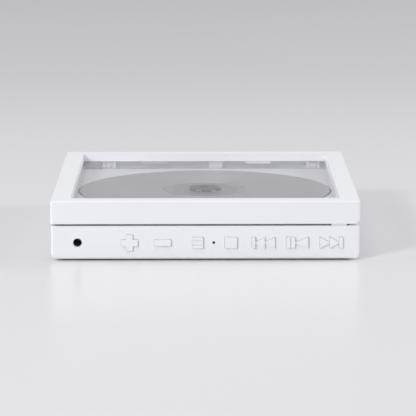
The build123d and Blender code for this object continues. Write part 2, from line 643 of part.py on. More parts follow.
def tact_switches():
    half = SWITCH / 2
    return group(
        block(x - half, x + half, SWITCH_FRONT, BOARD_Y, BUTTON_Z - half, BUTTON_Z + half)
        - rod_y(x, SWITCH_FRONT - 0.1, SWITCH_FRONT + SWITCH_WELL, BUTTON_Z, STEM_R + 0.2)
        for x, _ in BUTTONS.values()
    )


def status_led():
    return block(LIGHT_X - 0.8, LIGHT_X + 0.8, BOARD_Y - 0.8, BOARD_Y, BUTTON_Z - 0.4, BUTTON_Z + 0.4)


def light_pipe():
    pipe = rod_y(LIGHT_X, Y_FRONT + 0.1, BOARD_Y - 0.8, BUTTON_Z, LIGHT_R)
    return pipe + rod_y(LIGHT_X, Y_FRONT_IN, Y_FRONT_IN + 0.8, BUTTON_Z, LIGHT_R + 0.6)


def headphone_jack():
    w, d, h = JACK_BODY
    body = block(
        JACK_X - w / 2, JACK_X + w / 2, Y_FRONT_IN, Y_FRONT_IN + d, BUTTON_Z - h / 2, BUTTON_Z + h / 2
    )
    return body - rod_y(JACK_X, Y_FRONT_IN - 1, Y_FRONT + JACK_BORE_L, BUTTON_Z, JACK_R)


# ---------------------------------------------------------------- electronics
def main_board():
    x0, x1, y0, y1 = MAIN_BOARD
    board = block(x0, x1, y0, y1, MAIN_BOARD_Z, MAIN_BOARD_Z + BOARD_T)
    for x, y in STANDOFFS:
        board -= rod_z(x, y, MAIN_BOARD_Z, MAIN_BOARD_Z + BOARD_T, SMALL_SCREW_R + PASS_CLEAR)
    return board


def board_screws():
    top = MAIN_BOARD_Z + BOARD_T
    return group(screw(x, y, top, Z_FLOOR + 0.6, SMALL_SCREW_R, SMALL_HEAD_R, 0.9) for x, y in STANDOFFS)


CHIPS = [  # X and Y from the board's front edge, width, depth, height
    (-8.0, 14.0, 12.0, 12.0, 1.4),
    (12.0, 12.0, 7.0, 7.0, 1.2),
    (-28.0, 20.0, 13.0, 17.0, 2.4),
    (27.0, 16.0, 5.0, 5.0, 1.0),
    (34.0, 26.0, 6.0, 6.0, 3.0),
    (-8.0, 28.0, 8.0, 4.0, 1.6),
]
CAPACITORS = [(8.0, 24.0), (15.0, 24.0), (-30.0, 6.0)]


def board_chips():
    top = MAIN_BOARD_Z + BOARD_T
    y0 = MAIN_BOARD[2]
    chips = [block(x - w / 2, x + w / 2, y0 + y - d / 2, y0 + y + d / 2, top, top + h) for x, y, w, d, h in CHIPS]
    return group(chips + [rod_z(x, y0 + y, top, top + 5.0, 2.5) for x, y in CAPACITORS])


def usb_c_receptacle():
    y1 = IN_Y + USB_INTO_WALL
    shell = usb_prism(y1 - USB[1], y1, 0)
    shell -= usb_prism(y1 - USB[1] + 1.0, y1 + 1, -0.3)
    z = MAIN_BOARD_Z + BOARD_T + USB[2] / 2
    tongue = block(USB_X - 3.3, USB_X + 3.3, y1 - USB[1] + 0.5, y1 - 0.8, z - 0.35, z + 0.35)
    return shell + tongue


def battery_pack():
    x0, x1, y0, y1 = BATTERY
    pack = block(x0, x1, y0, y1, Z_FLOOR, Z_FLOOR + BATTERY_H)
    return fillet(pack.edges().filter_by(Axis.Y), 1.6)


RIBBON_X, RIBBON_W, RIBBON_T = -29.0, 4.0, 0.3


def board_ribbon():
    """The flat cable from the button board, along the floor, to the main board."""
    y0, z0 = BOARD_Y + BOARD_T, 7.0
    y1, z1 = MAIN_BOARD[2], MAIN_BOARD_Z + BOARD_T / 2
    floor = Z_FLOOR + RIBBON_T / 2 + 0.1
    path = FilletPolyline(
        (0, y0, z0), (0, y0 + 4, z0), (0, y0 + 7, floor), (0, y1 - 8, floor), (0, y1 - 4, z1), (0, y1, z1),
        radius=0.8,
    )
    section = Plane(origin=(0, y0, z0), x_dir=(1, 0, 0), z_dir=(0, 1, 0)) * Rectangle(RIBBON_W, RIBBON_T)
    return Pos(RIBBON_X, 0, 0) * sweep(section, path)


def lid_sensor():
    w, d = 4.0, 3.0
    return block(SENSOR_X - w / 2, SENSOR_X + w / 2, SENSOR_Y - d / 2, SENSOR_Y + d / 2, Z_FLANGE - 1.4, Z_FLANGE)


# ---------------------------------------------------------------- gear outlines
def involute(base_r, r):
    """The angle that the involute of a base circle has run through at radius r."""
    if r <= base_r:
        return 0.0
    a = math.acos(base_r / r)
    return math.tan(a) - a


def gear_face(module, teeth, addendum, dedendum, backlash):
    """A spur gear's outline, with a tooth centred on +X and involute flanks."""
    pitch_r = module * teeth / 2
    base_r = pitch_r * math.cos(PRESSURE)
    root_r, tip_r = pitch_r - dedendum, pitch_r + addendum
    half_tooth = (math.pi * module / 2 - backlash) / 2 / pitch_r + involute(base_r, pitch_r)
    radii = [root_r] + [max(base_r, root_r) + (tip_r - max(base_r, root_r)) * k / 3 for k in range(4)]
    flank = [(r, half_tooth - involute(base_r, r)) for r in radii]
    points = []
    for tooth in range(teeth):
        middle = 2 * math.pi * tooth / teeth
        for r, a in flank:
            points.append((r * math.cos(middle - a), r * math.sin(middle - a)))
        for r, a in reversed(flank):
            points.append((r * math.cos(middle + a), r * math.sin(middle + a)))
    return make_face(Polyline(*points, close=True))


# ---------------------------------------------------------------- pickup drive
GEAR_Y = RACK_PITCH_Y - RACK_MODULE * RACK_GEAR_TEETH / 2
WHEEL_Z = (CHASSIS_TOP + 0.3, CHASSIS_TOP + 1.3)
RACK_Z = (WHEEL_Z[1] + 0.3, WHEEL_Z[1] + 1.9)
RACK_BACK_T = 3.0
GEAR_SHAFT_R = 0.9
MOTOR_REACH = WHEEL_MODULE * (WHEEL_TEETH + MOTOR_TEETH) / 2
MOTOR_X = GEAR_X + MOTOR_REACH * math.cos(math.radians(MOTOR_ANGLE))
MOTOR_Y = GEAR_Y + MOTOR_REACH * math.sin(math.radians(MOTOR_ANGLE))
MOTOR_R = 6.0
MOTOR_SHAFT_R = 0.75
MOTOR_BOSS_R = 2.0
MOTOR_Z = 3.2
SPINDLE_MOTOR_R = 10.0
SPINDLE_BOSS_R = 5.0
SPINDLE_BOSS_TOP = CHASSIS_TOP + 2.0
SHAFT_R = 1.0
SLED_X = (LENS_START - SLED_BACK, LENS_START + SLED_FRONT)
SLED_Y = 12.0
SLED_Z = (5.5, 13.4)
AUX_SIDE = -RAIL_Y - 1.6
WINDOW_IN_CHASSIS = (RAIL_ENDS[0] + RAIL_POST_L, RAIL_ENDS[1] - RAIL_POST_L, AUX_SIDE - 0.5, RAIL_Y + 3.0)


def mechanism_chassis():
    x0, x1, y0, y1 = CHASSIS
    body = block(x0, x1, y0, y1, CHASSIS_UNDERSIDE, CHASSIS_TOP)
    body = fillet(body.edges().filter_by(Axis.Z), 3.0)
    wx0, wx1, wy0, wy1 = WINDOW_IN_CHASSIS
    body -= block(wx0, wx1, wy0, wy1, CHASSIS_UNDERSIDE, CHASSIS_TOP)
    # posts that hold the ends of the two rails
    rail_x0, rail_x1 = RAIL_ENDS[0] + RAIL_STOP, RAIL_ENDS[1] - RAIL_STOP
    for y, r in ((RAIL_Y, MAIN_RAIL_R), (-RAIL_Y, AUX_RAIL_R)):
        for px0, px1 in ((RAIL_ENDS[0], wx0), (wx1, RAIL_ENDS[1])):
            body += block(px0, px1, y - r - 0.8, y + r + 0.8, CHASSIS_TOP - ROOT, RAIL_Z + MAIN_RAIL_R + 0.5)
            body -= rod_x(max(px0, rail_x0), min(px1, rail_x1), y, RAIL_Z, r + PRESS_CLEAR)
    # stiffening rib round the free edges
    rim_t, rim_h = 1.2, 1.0
    body += block(x0 + 8, 50.0, y0, y0 + rim_t, CHASSIS_TOP - ROOT, CHASSIS_TOP + rim_h)
    body += block(x0 + 8, 50.0, y1 - rim_t, y1, CHASSIS_TOP - ROOT, CHASSIS_TOP + rim_h)
    body += block(x0, x0 + rim_t, y0 + 11, y1 - 11, CHASSIS_TOP - ROOT, CHASSIS_TOP + rim_h)
    for x, y in DAMPERS:
        body -= rod_z(x, y, CHASSIS_UNDERSIDE, CHASSIS_TOP, DAMPER_NECK_R + HOLE_CLEAR)
    body -= rod_z(0, 0, CHASSIS_UNDERSIDE, CHASSIS_TOP, SPINDLE_BOSS_R + HOLE_CLEAR)
    body -= rod_z(MOTOR_X, MOTOR_Y, CHASSIS_UNDERSIDE, CHASSIS_TOP, MOTOR_BOSS_R + HOLE_CLEAR)
    body -= rod_z(GEAR_X, GEAR_Y, CHASSIS_UNDERSIDE, CHASSIS_TOP, GEAR_SHAFT_R + PRESS_CLEAR)
    for x, y in motor_screw_places():
        body -= rod_z(x, y, CHASSIS_UNDERSIDE, CHASSIS_TOP, SMALL_SCREW_R + 0.1)
    return body


def motor_screw_places():
    return [(-7.5, 0.0), (7.5, 0.0), (MOTOR_X - 4.2, MOTOR_Y), (MOTOR_X, MOTOR_Y - 4.2)]


def motor_screws():
    return group(
        screw(x, y, CHASSIS_TOP, CHASSIS_UNDERSIDE - 1.2, SMALL_SCREW_R, 1.4, 0.6) for x, y in motor_screw_places()
    )


def damper_grommets():
    def grommet(x, y):
        z0, z1 = CHASSIS_UNDERSIDE - DAMPER_LIP, CHASSIS_TOP + DAMPER_LIP
        body = rod_z(x, y, z0, CHASSIS_UNDERSIDE, DAMPER_R)
        body += rod_z(x, y, z0, z1, DAMPER_NECK_R)
        body += rod_z(x, y, CHASSIS_TOP, z1, DAMPER_R - 0.4)
        return body - rod_z(x, y, z0, z1, CASE_SCREW_R + 0.3)

    return group(grommet(x, y) for x, y in DAMPERS)


def mechanism_screws():
    top = CHASSIS_TOP + DAMPER_LIP
    return group(screw(x, y, top, Z_FLOOR + 0.8, CASE_SCREW_R, 3.0, 1.0) for x, y in DAMPERS)


def guide_rail(y, r):
    return rod_x(RAIL_ENDS[0] + RAIL_STOP, RAIL_ENDS[1] - RAIL_STOP, y, RAIL_Z, r)


def spindle_motor():
    body = rod_z(0, 0, MOTOR_Z, CHASSIS_UNDERSIDE, SPINDLE_MOTOR_R)
    body = chamfer(body.edges().group_by(Axis.Z)[0], 0.6)
    body += rod_z(0, 0, CHASSIS_UNDERSIDE, SPINDLE_BOSS_TOP, SPINDLE_BOSS_R)
    body -= rod_z(0, 0, MOTOR_Z + 0.6, SPINDLE_BOSS_TOP, SHAFT_R + 0.02)
    for x, y in motor_screw_places()[:2]:
        body -= rod_z(x, y, CHASSIS_UNDERSIDE - 1.4, CHASSIS_UNDERSIDE, SMALL_SCREW_R + HOLE_CLEAR)
    return body


def sled_motor():
    body = rod_z(MOTOR_X, MOTOR_Y, MOTOR_Z, CHASSIS_UNDERSIDE, MOTOR_R)
    body = chamfer(body.edges().group_by(Axis.Z)[0], 0.5)
    body += rod_z(MOTOR_X, MOTOR_Y, CHASSIS_UNDERSIDE, CHASSIS_TOP, MOTOR_BOSS_R)
    body -= rod_z(MOTOR_X, MOTOR_Y, MOTOR_Z + 0.6, CHASSIS_TOP, MOTOR_SHAFT_R + 0.02)
    for x, y in motor_screw_places()[2:]:
        body -= rod_z(x, y, CHASSIS_UNDERSIDE - 1.4, CHASSIS_UNDERSIDE, SMALL_SCREW_R + HOLE_CLEAR)
    return body


def motor_shaft():
    return rod_z(MOTOR_X, MOTOR_Y, MOTOR_Z + 0.8, WHEEL_Z[1] + 0.6, MOTOR_SHAFT_R)


def motor_pinion():
    face = gear_face(WHEEL_MODULE, MOTOR_TEETH, WHEEL_MODULE, 1.25 * WHEEL_MODULE, BACKLASH)
    body = Pos(MOTOR_X, MOTOR_Y, WHEEL_Z[0]) * extrude(face, WHEEL_Z[1] - WHEEL_Z[0])
    return body - rod_z(MOTOR_X, MOTOR_Y, 0, Z_TOP, MOTOR_SHAFT_R + PRESS_CLEAR)


def gear_shaft():
    pin = rod_z(GEAR_X, GEAR_Y, CHASSIS_UNDERSIDE, RACK_Z[1] + 0.4, GEAR_SHAFT_R)
    return pin + rod_z(GEAR_X, GEAR_Y, RACK_Z[1] + 0.4, RACK_Z[1] + 0.8, GEAR_SHAFT_R + 0.8)


def reduction_gear():
    wheel = gear_face(WHEEL_MODULE, WHEEL_TEETH, WHEEL_ADDENDUM, 1.25 * WHEEL_MODULE, BACKLASH)
    small = gear_face(RACK_MODULE, RACK_GEAR_TEETH, RACK_MODULE, 1.1 * RACK_MODULE, BACKLASH)
    body = extrude(Pos(0, 0, WHEEL_Z[0]) * wheel, WHEEL_Z[1] - WHEEL_Z[0])
    body += extrude(Pos(0, 0, WHEEL_Z[1]) * small, RACK_Z[1] + 0.2 - WHEEL_Z[1])
    body -= rod_z(0, 0, 0, Z_TOP, GEAR_SHAFT_R + RUN_CLEAR)
    for k in range(5):
        a = math.radians(72 * k)
        body -= rod_z(5.2 * math.cos(a), 5.2 * math.sin(a), 0, WHEEL_Z[1], 1.1)
    return Pos(GEAR_X, GEAR_Y, 0) * body


def sled_rack():
    """A bar with teeth along its outer side, and a tab that is bonded to the sled."""
    pitch = math.pi * RACK_MODULE
    tip_y, root_y = RACK_PITCH_Y - RACK_ADDENDUM, RACK_PITCH_Y + 1.25 * RACK_MODULE
    back_y = root_y + RACK_BACK_T
    spread = math.tan(PRESSURE)
    half_pitch = pitch / 4 - BACKLASH / 2
    half_tip = half_pitch - RACK_ADDENDUM * spread
    half_root = half_pitch + (root_y - RACK_PITCH_Y) * spread
    travel = LENS_END - LENS_START
    teeth = math.ceil(travel / pitch) + 3
    first = GEAR_X + 1.5 * pitch      # a gap faces the gear's tooth at rest
    x_high, x_low = first + pitch / 2, first - (teeth - 0.5) * pitch
    points = [(x_high, back_y), (x_low, back_y), (x_low, root_y)]
    for k in reversed(range(teeth)):
        x = first - k * pitch
        points += [(x - half_root, root_y), (x - half_tip, tip_y), (x + half_tip, tip_y), (x + half_root, root_y)]
    points.append((x_high, root_y))
    bar_part = Pos(0, 0, RACK_Z[0]) * extrude(make_face(Polyline(*points, close=True)), RACK_Z[1] - RACK_Z[0])
    tab = block(SLED_X[0] + 1, SLED_X[1] - 1, back_y - 0.5, AUX_SIDE, RACK_Z[0], RACK_Z[1])
    return bar_part + tab


def pickup_sled():
    x0, x1 = SLED_X
    body = block(x0, x1, -SLED_Y, SLED_Y, SLED_Z[0], SLED_Z[1])
    body = fillet(body.edges().filter_by(Axis.Z), 1.0)
    body += block(x0, x1, SLED_Y - 1, RAIL_Y, RAIL_Z - 1.9, RAIL_Z + 1.9)
    body += rod_x(x0, x1, RAIL_Y, RAIL_Z, MAIN_RAIL_R + 0.9)
    body += block(x0 + 1, x1 - 1, AUX_SIDE, -SLED_Y + 1, RAIL_Z - 1.6, RAIL_Z + 1.6)
    body -= rod_x(x0 - 1, x1 + 1, RAIL_Y, RAIL_Z, MAIN_RAIL_R + SLIDE_CLEAR)
    body -= rod_x(x0 - 1, x1 + 1, -RAIL_Y, RAIL_Z, AUX_RAIL_R + RUN_CLEAR)
    # well under the lens, open to the laser's light path
    body -= block(LENS_START - 4.3, LENS_START + 4.0, -5.6, 5.6, SLED_Z[1] - 1.4, SLED_Z[1])
    body -= rod_z(LENS_START, 0, SLED_Z[0] + 1.5, SLED_Z[1], 2.4)
    return body


COVER_X = (LENS_START - 6.0, LENS_START + 4.8)
COVER_TOP = Z_WELL - WELL_FLOOR_T - 0.4
HOLDER_X, HOLDER_Y = 3.4, 4.8
HOLDER_Z = (SLED_Z[1] + 0.1, COVER_TOP - 0.4)


def actuator_cover():
    t = 0.5
    body = block(COVER_X[0], COVER_X[1], -COVER_Y, COVER_Y, SLED_Z[1], COVER_TOP)
    body -= block(COVER_X[0] + t, COVER_X[1] - t, -COVER_Y + t, COVER_Y - t, SLED_Z[1], COVER_TOP - t)
    grow = 0.5
    body -= block(
        LENS_START - HOLDER_X - grow, LENS_START + HOLDER_X + grow, -HOLDER_Y - grow, HOLDER_Y + grow,
        SLED_Z[1], COVER_TOP,
    )
    return body


def lens_holder():
    x0, x1 = LENS_START - HOLDER_X, LENS_START + HOLDER_X
    body = block(x0, x1, -HOLDER_Y, HOLDER_Y, HOLDER_Z[0], HOLDER_Z[1])
    body = fillet(body.edges().filter_by(Axis.Z), 0.8)
    return body - rod_z(LENS_START, 0, HOLDER_Z[0], HOLDER_Z[1], LENS_R - 0.6)


def objective_lens():
    z0 = HOLDER_Z[1]
    rim = rod_z(LENS_START, 0, z0, z0 + 0.5, LENS_R)
    dome_r = 2.4
    dome = Pos(LENS_START, 0, z0 + 0.5 - 1.2) * Sphere(dome_r)
    dome &= rod_z(LENS_START, 0, z0 + 0.4, z0 + 3, LENS_R)
    return rim + dome


# ---------------------------------------------------------------- turntable and disc
TURNTABLE_T = 1.2
PAD_T = 0.4
Z_TURNTABLE = Z_DISC - PAD_T
HUB_R = 7.4
HUB_TOP = Z_PANE - 0.4
HUB_CHAMFER = 0.7
PAWL_W = 2.6
PAWL_ANGLES = (-114.0, 6.0, 126.0)
RIB_ANGLES = (-54.0, 66.0, 186.0)      # fixed ribs, midway between the pawls
RIB_REACH = 0.05       # ribs proud of the hub
RIB_D = 1.2
SPIGOT_D = 1.2         # shaft's depth in the hub
HUB_DISH_R, HUB_DISH_D = 2.2, 0.6
PAWL_TRAVEL = 0.7
PAWL_CLEAR = 0.1
PAWL_IN, PAWL_NOSE = 4.9, 7.95
PAWL_Z = (Z_DISC + 0.3, HUB_TOP - 0.5)


def spindle_shaft():
    return rod_z(0, 0, MOTOR_Z + 0.8, Z_TURNTABLE + 1.0, SHAFT_R)


def turntable():
    body = rod_z(0, 0, Z_TURNTABLE - TURNTABLE_T, Z_TURNTABLE, TURNTABLE_R)
    body = chamfer(body.edges().group_by(Axis.Z)[0], 0.4)
    body += rod_z(0, 0, SPINDLE_BOSS_TOP + 0.4, Z_TURNTABLE - TURNTABLE_T, 3.5)
    return body - rod_z(0, 0, 0, Z_TURNTABLE, SHAFT_R + PRESS_CLEAR)


def platter_pad():
    ring = rod_z(0, 0, Z_TURNTABLE, Z_DISC, TURNTABLE_R - 0.4)
    return ring - rod_z(0, 0, Z_TURNTABLE, Z_DISC, 9.2)


def spindle_hub():
    body = rod_z(0, 0, Z_TURNTABLE, HUB_TOP, HUB_R)
    body = chamfer(body.edges().group_by(Axis.Z)[-1], HUB_CHAMFER)
    body -= rod_z(0, 0, Z_TURNTABLE, Z_TURNTABLE + SPIGOT_D, SHAFT_R + PRESS_CLEAR)
    body -= rod_z(0, 0, HUB_TOP - HUB_DISH_D, HUB_TOP, HUB_DISH_R)
    z0, z1 = PAWL_Z
    half, room = PAWL_W / 2, PAWL_CLEAR
    slot = block(PAWL_IN - PAWL_TRAVEL - 0.2, HUB_R + 1, -half - room, half + room, z0 - room, z1 + room)
    for angle in PAWL_ANGLES:
        body -= Rot(0, 0, angle) * slot
    seat = block(HUB_R - RIB_D, HUB_R + 1, -half, half, z0, z1)
    for angle in RIB_ANGLES:
        body -= Rot(0, 0, angle) * seat
    return body


def hub_ribs():
    """Smooth ribs set into the hub, which centre the disc between the pawls."""
    z0, z1 = PAWL_Z
    r0, r1 = HUB_R - RIB_D, HUB_R + RIB_REACH
    outline = make_face(Plane.XZ * Polyline((r0, z0), (r1, z0), (r1, Z_DISC_TOP), (HUB_R - 0.3, z1), (r0, z1), close=True))
    rib = Pos(0, -PAWL_W / 2, 0) * extrude(outline, PAWL_W, dir=(0, 1, 0)) & rod_z(0, 0, z0, z1, r1)
    return group(Rot(0, 0, angle) * rib for angle in RIB_ANGLES)


def hub_pawl(angle):
    """A sprung claw whose nose holds the disc down by the edge of its bore."""
    z0, z1 = PAWL_Z
    points = [
        (PAWL_IN, z0), (HUB_R - 0.05, z0), (HUB_R - 0.05, Z_DISC_TOP + 0.05), (PAWL_NOSE, Z_DISC_TOP + 0.3),
        (PAWL_NOSE, Z_DISC_TOP + 0.45), (HUB_R - 0.3, z1), (PAWL_IN, z1),
    ]
    face = make_face(Plane.XZ * Polyline(*points, close=True))
    claw = Pos(0, -PAWL_W / 2, 0) * extrude(face, PAWL_W, dir=(0, 1, 0))
    return Rot(0, 0, angle) * claw


def compact_disc():
    body = rod_z(0, 0, Z_DISC, Z_DISC_TOP, DISC_R)
    body = chamfer(body.edges().filter_by(GeomType.CIRCLE), DISC_CHAMFER)
    z0, z1, half = Z_DISC - DISC_STACK_H, Z_DISC + DISC_T / 2, DISC_STACK_W / 2
    body += rod_z(0, 0, z0, z1, DISC_STACK_R + half) - rod_z(0, 0, z0, z1, DISC_STACK_R - half)
    return body - rod_z(0, 0, Z_DISC, Z_DISC_TOP, DISC_BORE_R)


# ---------------------------------------------------------------- nodes
NODES = {
    "base_tub": base_tub(),
    "foot_pads": foot_pads(),
    "case_screws": case_screws(),
    "deck_plate": deck_plate(),
    "base_magnets": base_magnets(),
    "hinge_bracket_left": hinge_bracket(HINGE_X[0]),
    "hinge_bracket_right": hinge_bracket(HINGE_X[1]),
    "hinge_screws": hinge_screws(),
    "hinge_pins": hinge_pins(),
    "lid_frame": lid_frame(),
    "lid_window": lid_window(),
    "window_clips": group(window_clip(x) for x in CLIP_X),
    "lid_magnets": lid_magnets(),
    "lid_bumper": lid_bumper(),
    "button_board": button_board(),
    "tact_switches": tact_switches(),
    "status_led": status_led(),
    "light_pipe": light_pipe(),
    "headphone_jack": headphone_jack(),
    "main_board": main_board(),
    "board_screws": board_screws(),
    "board_chips": board_chips(),
    "board_ribbon": board_ribbon(),
    "usb_c_receptacle": usb_c_receptacle(),
    "battery_pack": battery_pack(),
    "lid_sensor": lid_sensor(),
    "mechanism_chassis": mechanism_chassis(),
    "damper_grommets": damper_grommets(),
    "mechanism_screws": mechanism_screws(),
    "guide_rail_main": guide_rail(RAIL_Y, MAIN_RAIL_R),
    "guide_rail_aux": guide_rail(-RAIL_Y, AUX_RAIL_R),
    "spindle_motor": spindle_motor(),
    "sled_motor": sled_motor(),
    "motor_screws": motor_screws(),
    "motor_shaft": motor_shaft(),
    "motor_pinion": motor_pinion(),
    "gear_shaft": gear_shaft(),
    "reduction_gear": reduction_gear(),
    "pickup_sled": pickup_sled(),
    "sled_rack": sled_rack(),
    "actuator_cover": actuator_cover(),
    "lens_holder": lens_holder(),
    "objective_lens": objective_lens(),
    "spindle_shaft": spindle_shaft(),
    "turntable": turntable(),
    "platter_pad": platter_pad(),
    "spindle_hub": spindle_hub(),
    "hub_ribs": hub_ribs(),
    "compact_disc": compact_disc(),
}
for k, angle in enumerate(PAWL_ANGLES):
    NODES[f"hub_pawl_{k + 1}"] = hub_pawl(angle)
for name in BUTTONS:
    NODES[name] = button(name)

os.makedirs("parts", exist_ok=True)
for name, shape in NODES.items():
    export_step(shape, f"parts/{name}.step")
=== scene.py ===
"""Finishes, screws, stage and lights for the slim disc player. Metres, +Z up.

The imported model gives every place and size: +X to the right along the button edge,
-Y towards the button edge, origin under the spindle on the plane of the feet.
"""

import json
import math

import bmesh
import bpy
from mathutils import Euler, Matrix, Vector


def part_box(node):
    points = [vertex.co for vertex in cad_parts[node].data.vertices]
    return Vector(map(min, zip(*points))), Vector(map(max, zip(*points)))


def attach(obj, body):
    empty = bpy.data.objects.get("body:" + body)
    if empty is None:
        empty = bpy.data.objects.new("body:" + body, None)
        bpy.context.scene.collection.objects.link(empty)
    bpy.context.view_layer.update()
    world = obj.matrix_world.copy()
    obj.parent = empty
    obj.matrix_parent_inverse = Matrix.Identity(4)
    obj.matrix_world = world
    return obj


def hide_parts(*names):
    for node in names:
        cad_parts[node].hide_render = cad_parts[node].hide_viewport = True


MM = 0.001

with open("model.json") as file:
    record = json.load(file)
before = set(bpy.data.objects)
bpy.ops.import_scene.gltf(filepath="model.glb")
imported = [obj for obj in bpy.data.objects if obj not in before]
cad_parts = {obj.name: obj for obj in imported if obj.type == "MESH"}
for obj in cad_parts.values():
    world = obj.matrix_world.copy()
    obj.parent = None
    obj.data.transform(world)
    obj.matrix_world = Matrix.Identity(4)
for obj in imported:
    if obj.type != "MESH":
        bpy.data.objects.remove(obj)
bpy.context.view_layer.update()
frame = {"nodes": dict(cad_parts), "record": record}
nodes = frame["nodes"]


def middle(node):
    """The centre of a CAD node's box."""
    low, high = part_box(node)
    return (low + high) / 2


# ---------------------------------------------------------------- sums on sockets
class Tone:
    """One output socket of a finish. Sums on it add Math nodes."""

    def __init__(self, finish, output):
        self.finish = finish
        self.output = output

    def __add__(self, other):
        return self.finish.math("ADD", self, other)

    def __radd__(self, other):
        return self.finish.math("ADD", other, self)

    def __sub__(self, other):
        return self.finish.math("SUBTRACT", self, other)

    def __rsub__(self, other):
        return self.finish.math("SUBTRACT", other, self)

    def __mul__(self, other):
        return self.finish.math("MULTIPLY", self, other)

    def __rmul__(self, other):
        return self.finish.math("MULTIPLY", other, self)

    def __pow__(self, other):
        return self.finish.math("POWER", self, other)


SHADER_SOCKETS = {
    "metallic": "Metallic",
    "specular": "Specular IOR Level",
    "coat": "Coat Weight",
    "coat_roughness": "Coat Roughness",
    "sheen": "Sheen Weight",
    "anisotropic": "Anisotropic",
    "anisotropic_turn": "Anisotropic Rotation",
}


class Finish:
    """A material whose nodes are added one call at a time."""

    def __init__(self, name):
        self.material = bpy.data.materials.new(name)
        self.material.use_nodes = True
        self.tree = self.material.node_tree
        self.tree.nodes.clear()
        self.place = self.node("TexCoord", output="Object")

    def node(self, kind, settings=None, sockets=None, output=0):
        """Adds a node: its settings first, then the values or links of its sockets."""
        made = self.tree.nodes.new("ShaderNode" + kind)
        for name, value in (settings or {}).items():
            setattr(made, name, value)
        for name, value in (sockets or {}).items():
            if isinstance(value, Tone):
                self.tree.links.new(value.output, made.inputs[name])
            elif value is not None:
                made.inputs[name].default_value = value
        return Tone(self, made.outputs[output]) if made.outputs else made

    def math(self, operation, a, b=None):
        return self.node("Math", {"operation": operation}, {0: a, 1: b})

    def mapped(self, scale=(1.0, 1.0, 1.0), move=(0.0, 0.0, 0.0)):
        """Object coordinates, stretched and then moved."""
        return self.node("Mapping", None, {"Vector": self.place, "Location": move, "Scale": scale})

    def from_middle(self, node):
        """Object coordinates, counted from the middle of a CAD node's box."""
        return self.mapped(move=tuple(-c for c in middle(node)))

    def axes(self, vector=None):
        """The x, y and z of a vector, by default of the place on the piece."""
        split = self.node("SeparateXYZ", None, {0: vector or self.place}).output.node
        return [Tone(self, split.outputs[k]) for k in range(3)]

    def radius(self, vector=None):
        """Distance from the upright line through the zero of a vector."""
        x, y, _ = self.axes(vector)
        return (x * x + y * y) ** 0.5

    def wave(self, value, pitch):
        """A sine from -1 to 1 that repeats once in each pitch."""
        return self.math("SINE", value * (2 * math.pi / pitch))

    def noise(self, size, detail=2.0, roughness=0.5, stretch=(1.0, 1.0, 1.0)):
        """Soft cloudy noise, from 0 to 1, with patches of about the given size in metres."""
        sockets = {
            "Vector": self.mapped(tuple(s / size for s in stretch)),
            "Scale": 1.0,
            "Detail": detail,
            "Roughness": roughness,
        }
        return self.node("TexNoise", None, sockets)

    def cells(self, size, feature="F1", stretch=(1.0, 1.0, 1.0)):
        """Distance in a pattern of cells of about the given size in metres."""
        sockets = {"Vector": self.mapped(tuple(s / size for s in stretch)), "Scale": 1.0}
        return self.node("TexVoronoi", {"feature": feature}, sockets)

    def rise(self, value, start, end):
        """0 before start, 1 after end, smooth between."""
        sockets = {"Value": value, "From Min": start, "From Max": end, "To Min": 0.0, "To Max": 1.0}
        return self.node("MapRange", {"interpolation_type": "SMOOTHSTEP"}, sockets)

    def between(self, value, low, high, soft):
        """1 from low to high, 0 outside, with soft edges."""
        return self.rise(value, low - soft, low) * (1 - self.rise(value, high, high + soft))

    def mix(self, factor, a, b):
        """Colour a where factor is 0 and b where it is 1."""
        a, b = (c if isinstance(c, Tone) else (*c, 1.0) for c in (a, b))
        return self.node("Mix", {"data_type": "RGBA"}, {0: factor, 6: a, 7: b}, output=2)

    def bump(self, height, depth):
        """A normal from a height of 0 to 1, whose full depth is given in metres."""
        return self.node("Bump", None, {"Height": height, "Distance": depth, "Strength": 1.0})

    def plastic(self, colour, roughness, normal=None, **more):
        """The common shader. Its other sockets are named as in SHADER_SOCKETS."""
        sockets = {"Base Color": colour, "Roughness": roughness, "Normal": normal}
        for name, value in more.items():
            sockets[SHADER_SOCKETS[name]] = value
        return self.node("BsdfPrincipled", None, sockets)

    def done(self, shader):
        self.node("OutputMaterial", None, {"Surface": shader})
        return self.material


# ---------------------------------------------------------------- plastics
# The grey of the painted shade on the inner face of the lid's rear wall.
PAINTED_SHADE_GREY = (0.655, 0.655, 0.695)
LID_WALL = 3.0 * MM
EDGE = 0.02 * MM        # how soft the edge of a painted area, of the painted shade inside the lid or of a gilded area is


def moulded_plastic(name, colour, rough, grain=0.18 * MM, depth=0.006 * MM, cloud=0.02, painted_shade=None):
    """Spark-eroded moulded plastic: fine grain, slow clouds in tone and in gloss."""
    f = Finish(name)
    fine = f.noise(grain, detail=3.0, roughness=0.6)
    slow = f.noise(45 * MM)
    smudge = f.noise(18 * MM, detail=4.0, roughness=0.65, stretch=(1.0, 0.6, 1.0))
    darker = tuple(c * (1 - cloud) for c in colour)
    tone = f.mix(slow, darker, colour)
    # Where the mask is 1, the tone turns to the grey of the painted shade.
    if painted_shade:
        tone = f.mix(painted_shade(f), tone, PAINTED_SHADE_GREY)
    gloss = rough + 0.07 * (smudge - 0.5) + 0.05 * (fine - 0.5)
    return f.done(f.plastic(tone, gloss, f.bump(fine, depth)))


def lid_rear_shade(finish):
    """Painted shade: 1 on the inner face of the lid's rear wall, which is greyed for the shade it
    lies in, 0 on its ribs and on all that shows outside.
    """
    low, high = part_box("lid_frame")
    pane_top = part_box("lid_window")[1].z
    x, y, z = finish.axes()
    face = high.y - LID_WALL
    along = finish.between(y, face - 0.05 * MM, face + LID_WALL / 2, EDGE)
    across = finish.between(x, low.x + LID_WALL / 2, high.x - LID_WALL / 2, EDGE)
    below = 1 - finish.rise(z, pane_top - 2 * EDGE, pane_top - EDGE)
    return across * along * below * finish.rise(z, low.z + EDGE, low.z + 2 * EDGE)


def shell_white():
    """The painted outside of both shells. Inside the lid, the inner face of the rear wall is greyed
    as painted shade.
    """
    return moulded_plastic("shell_white", (0.865, 0.872, 0.905), rough=0.36, painted_shade=lid_rear_shade)


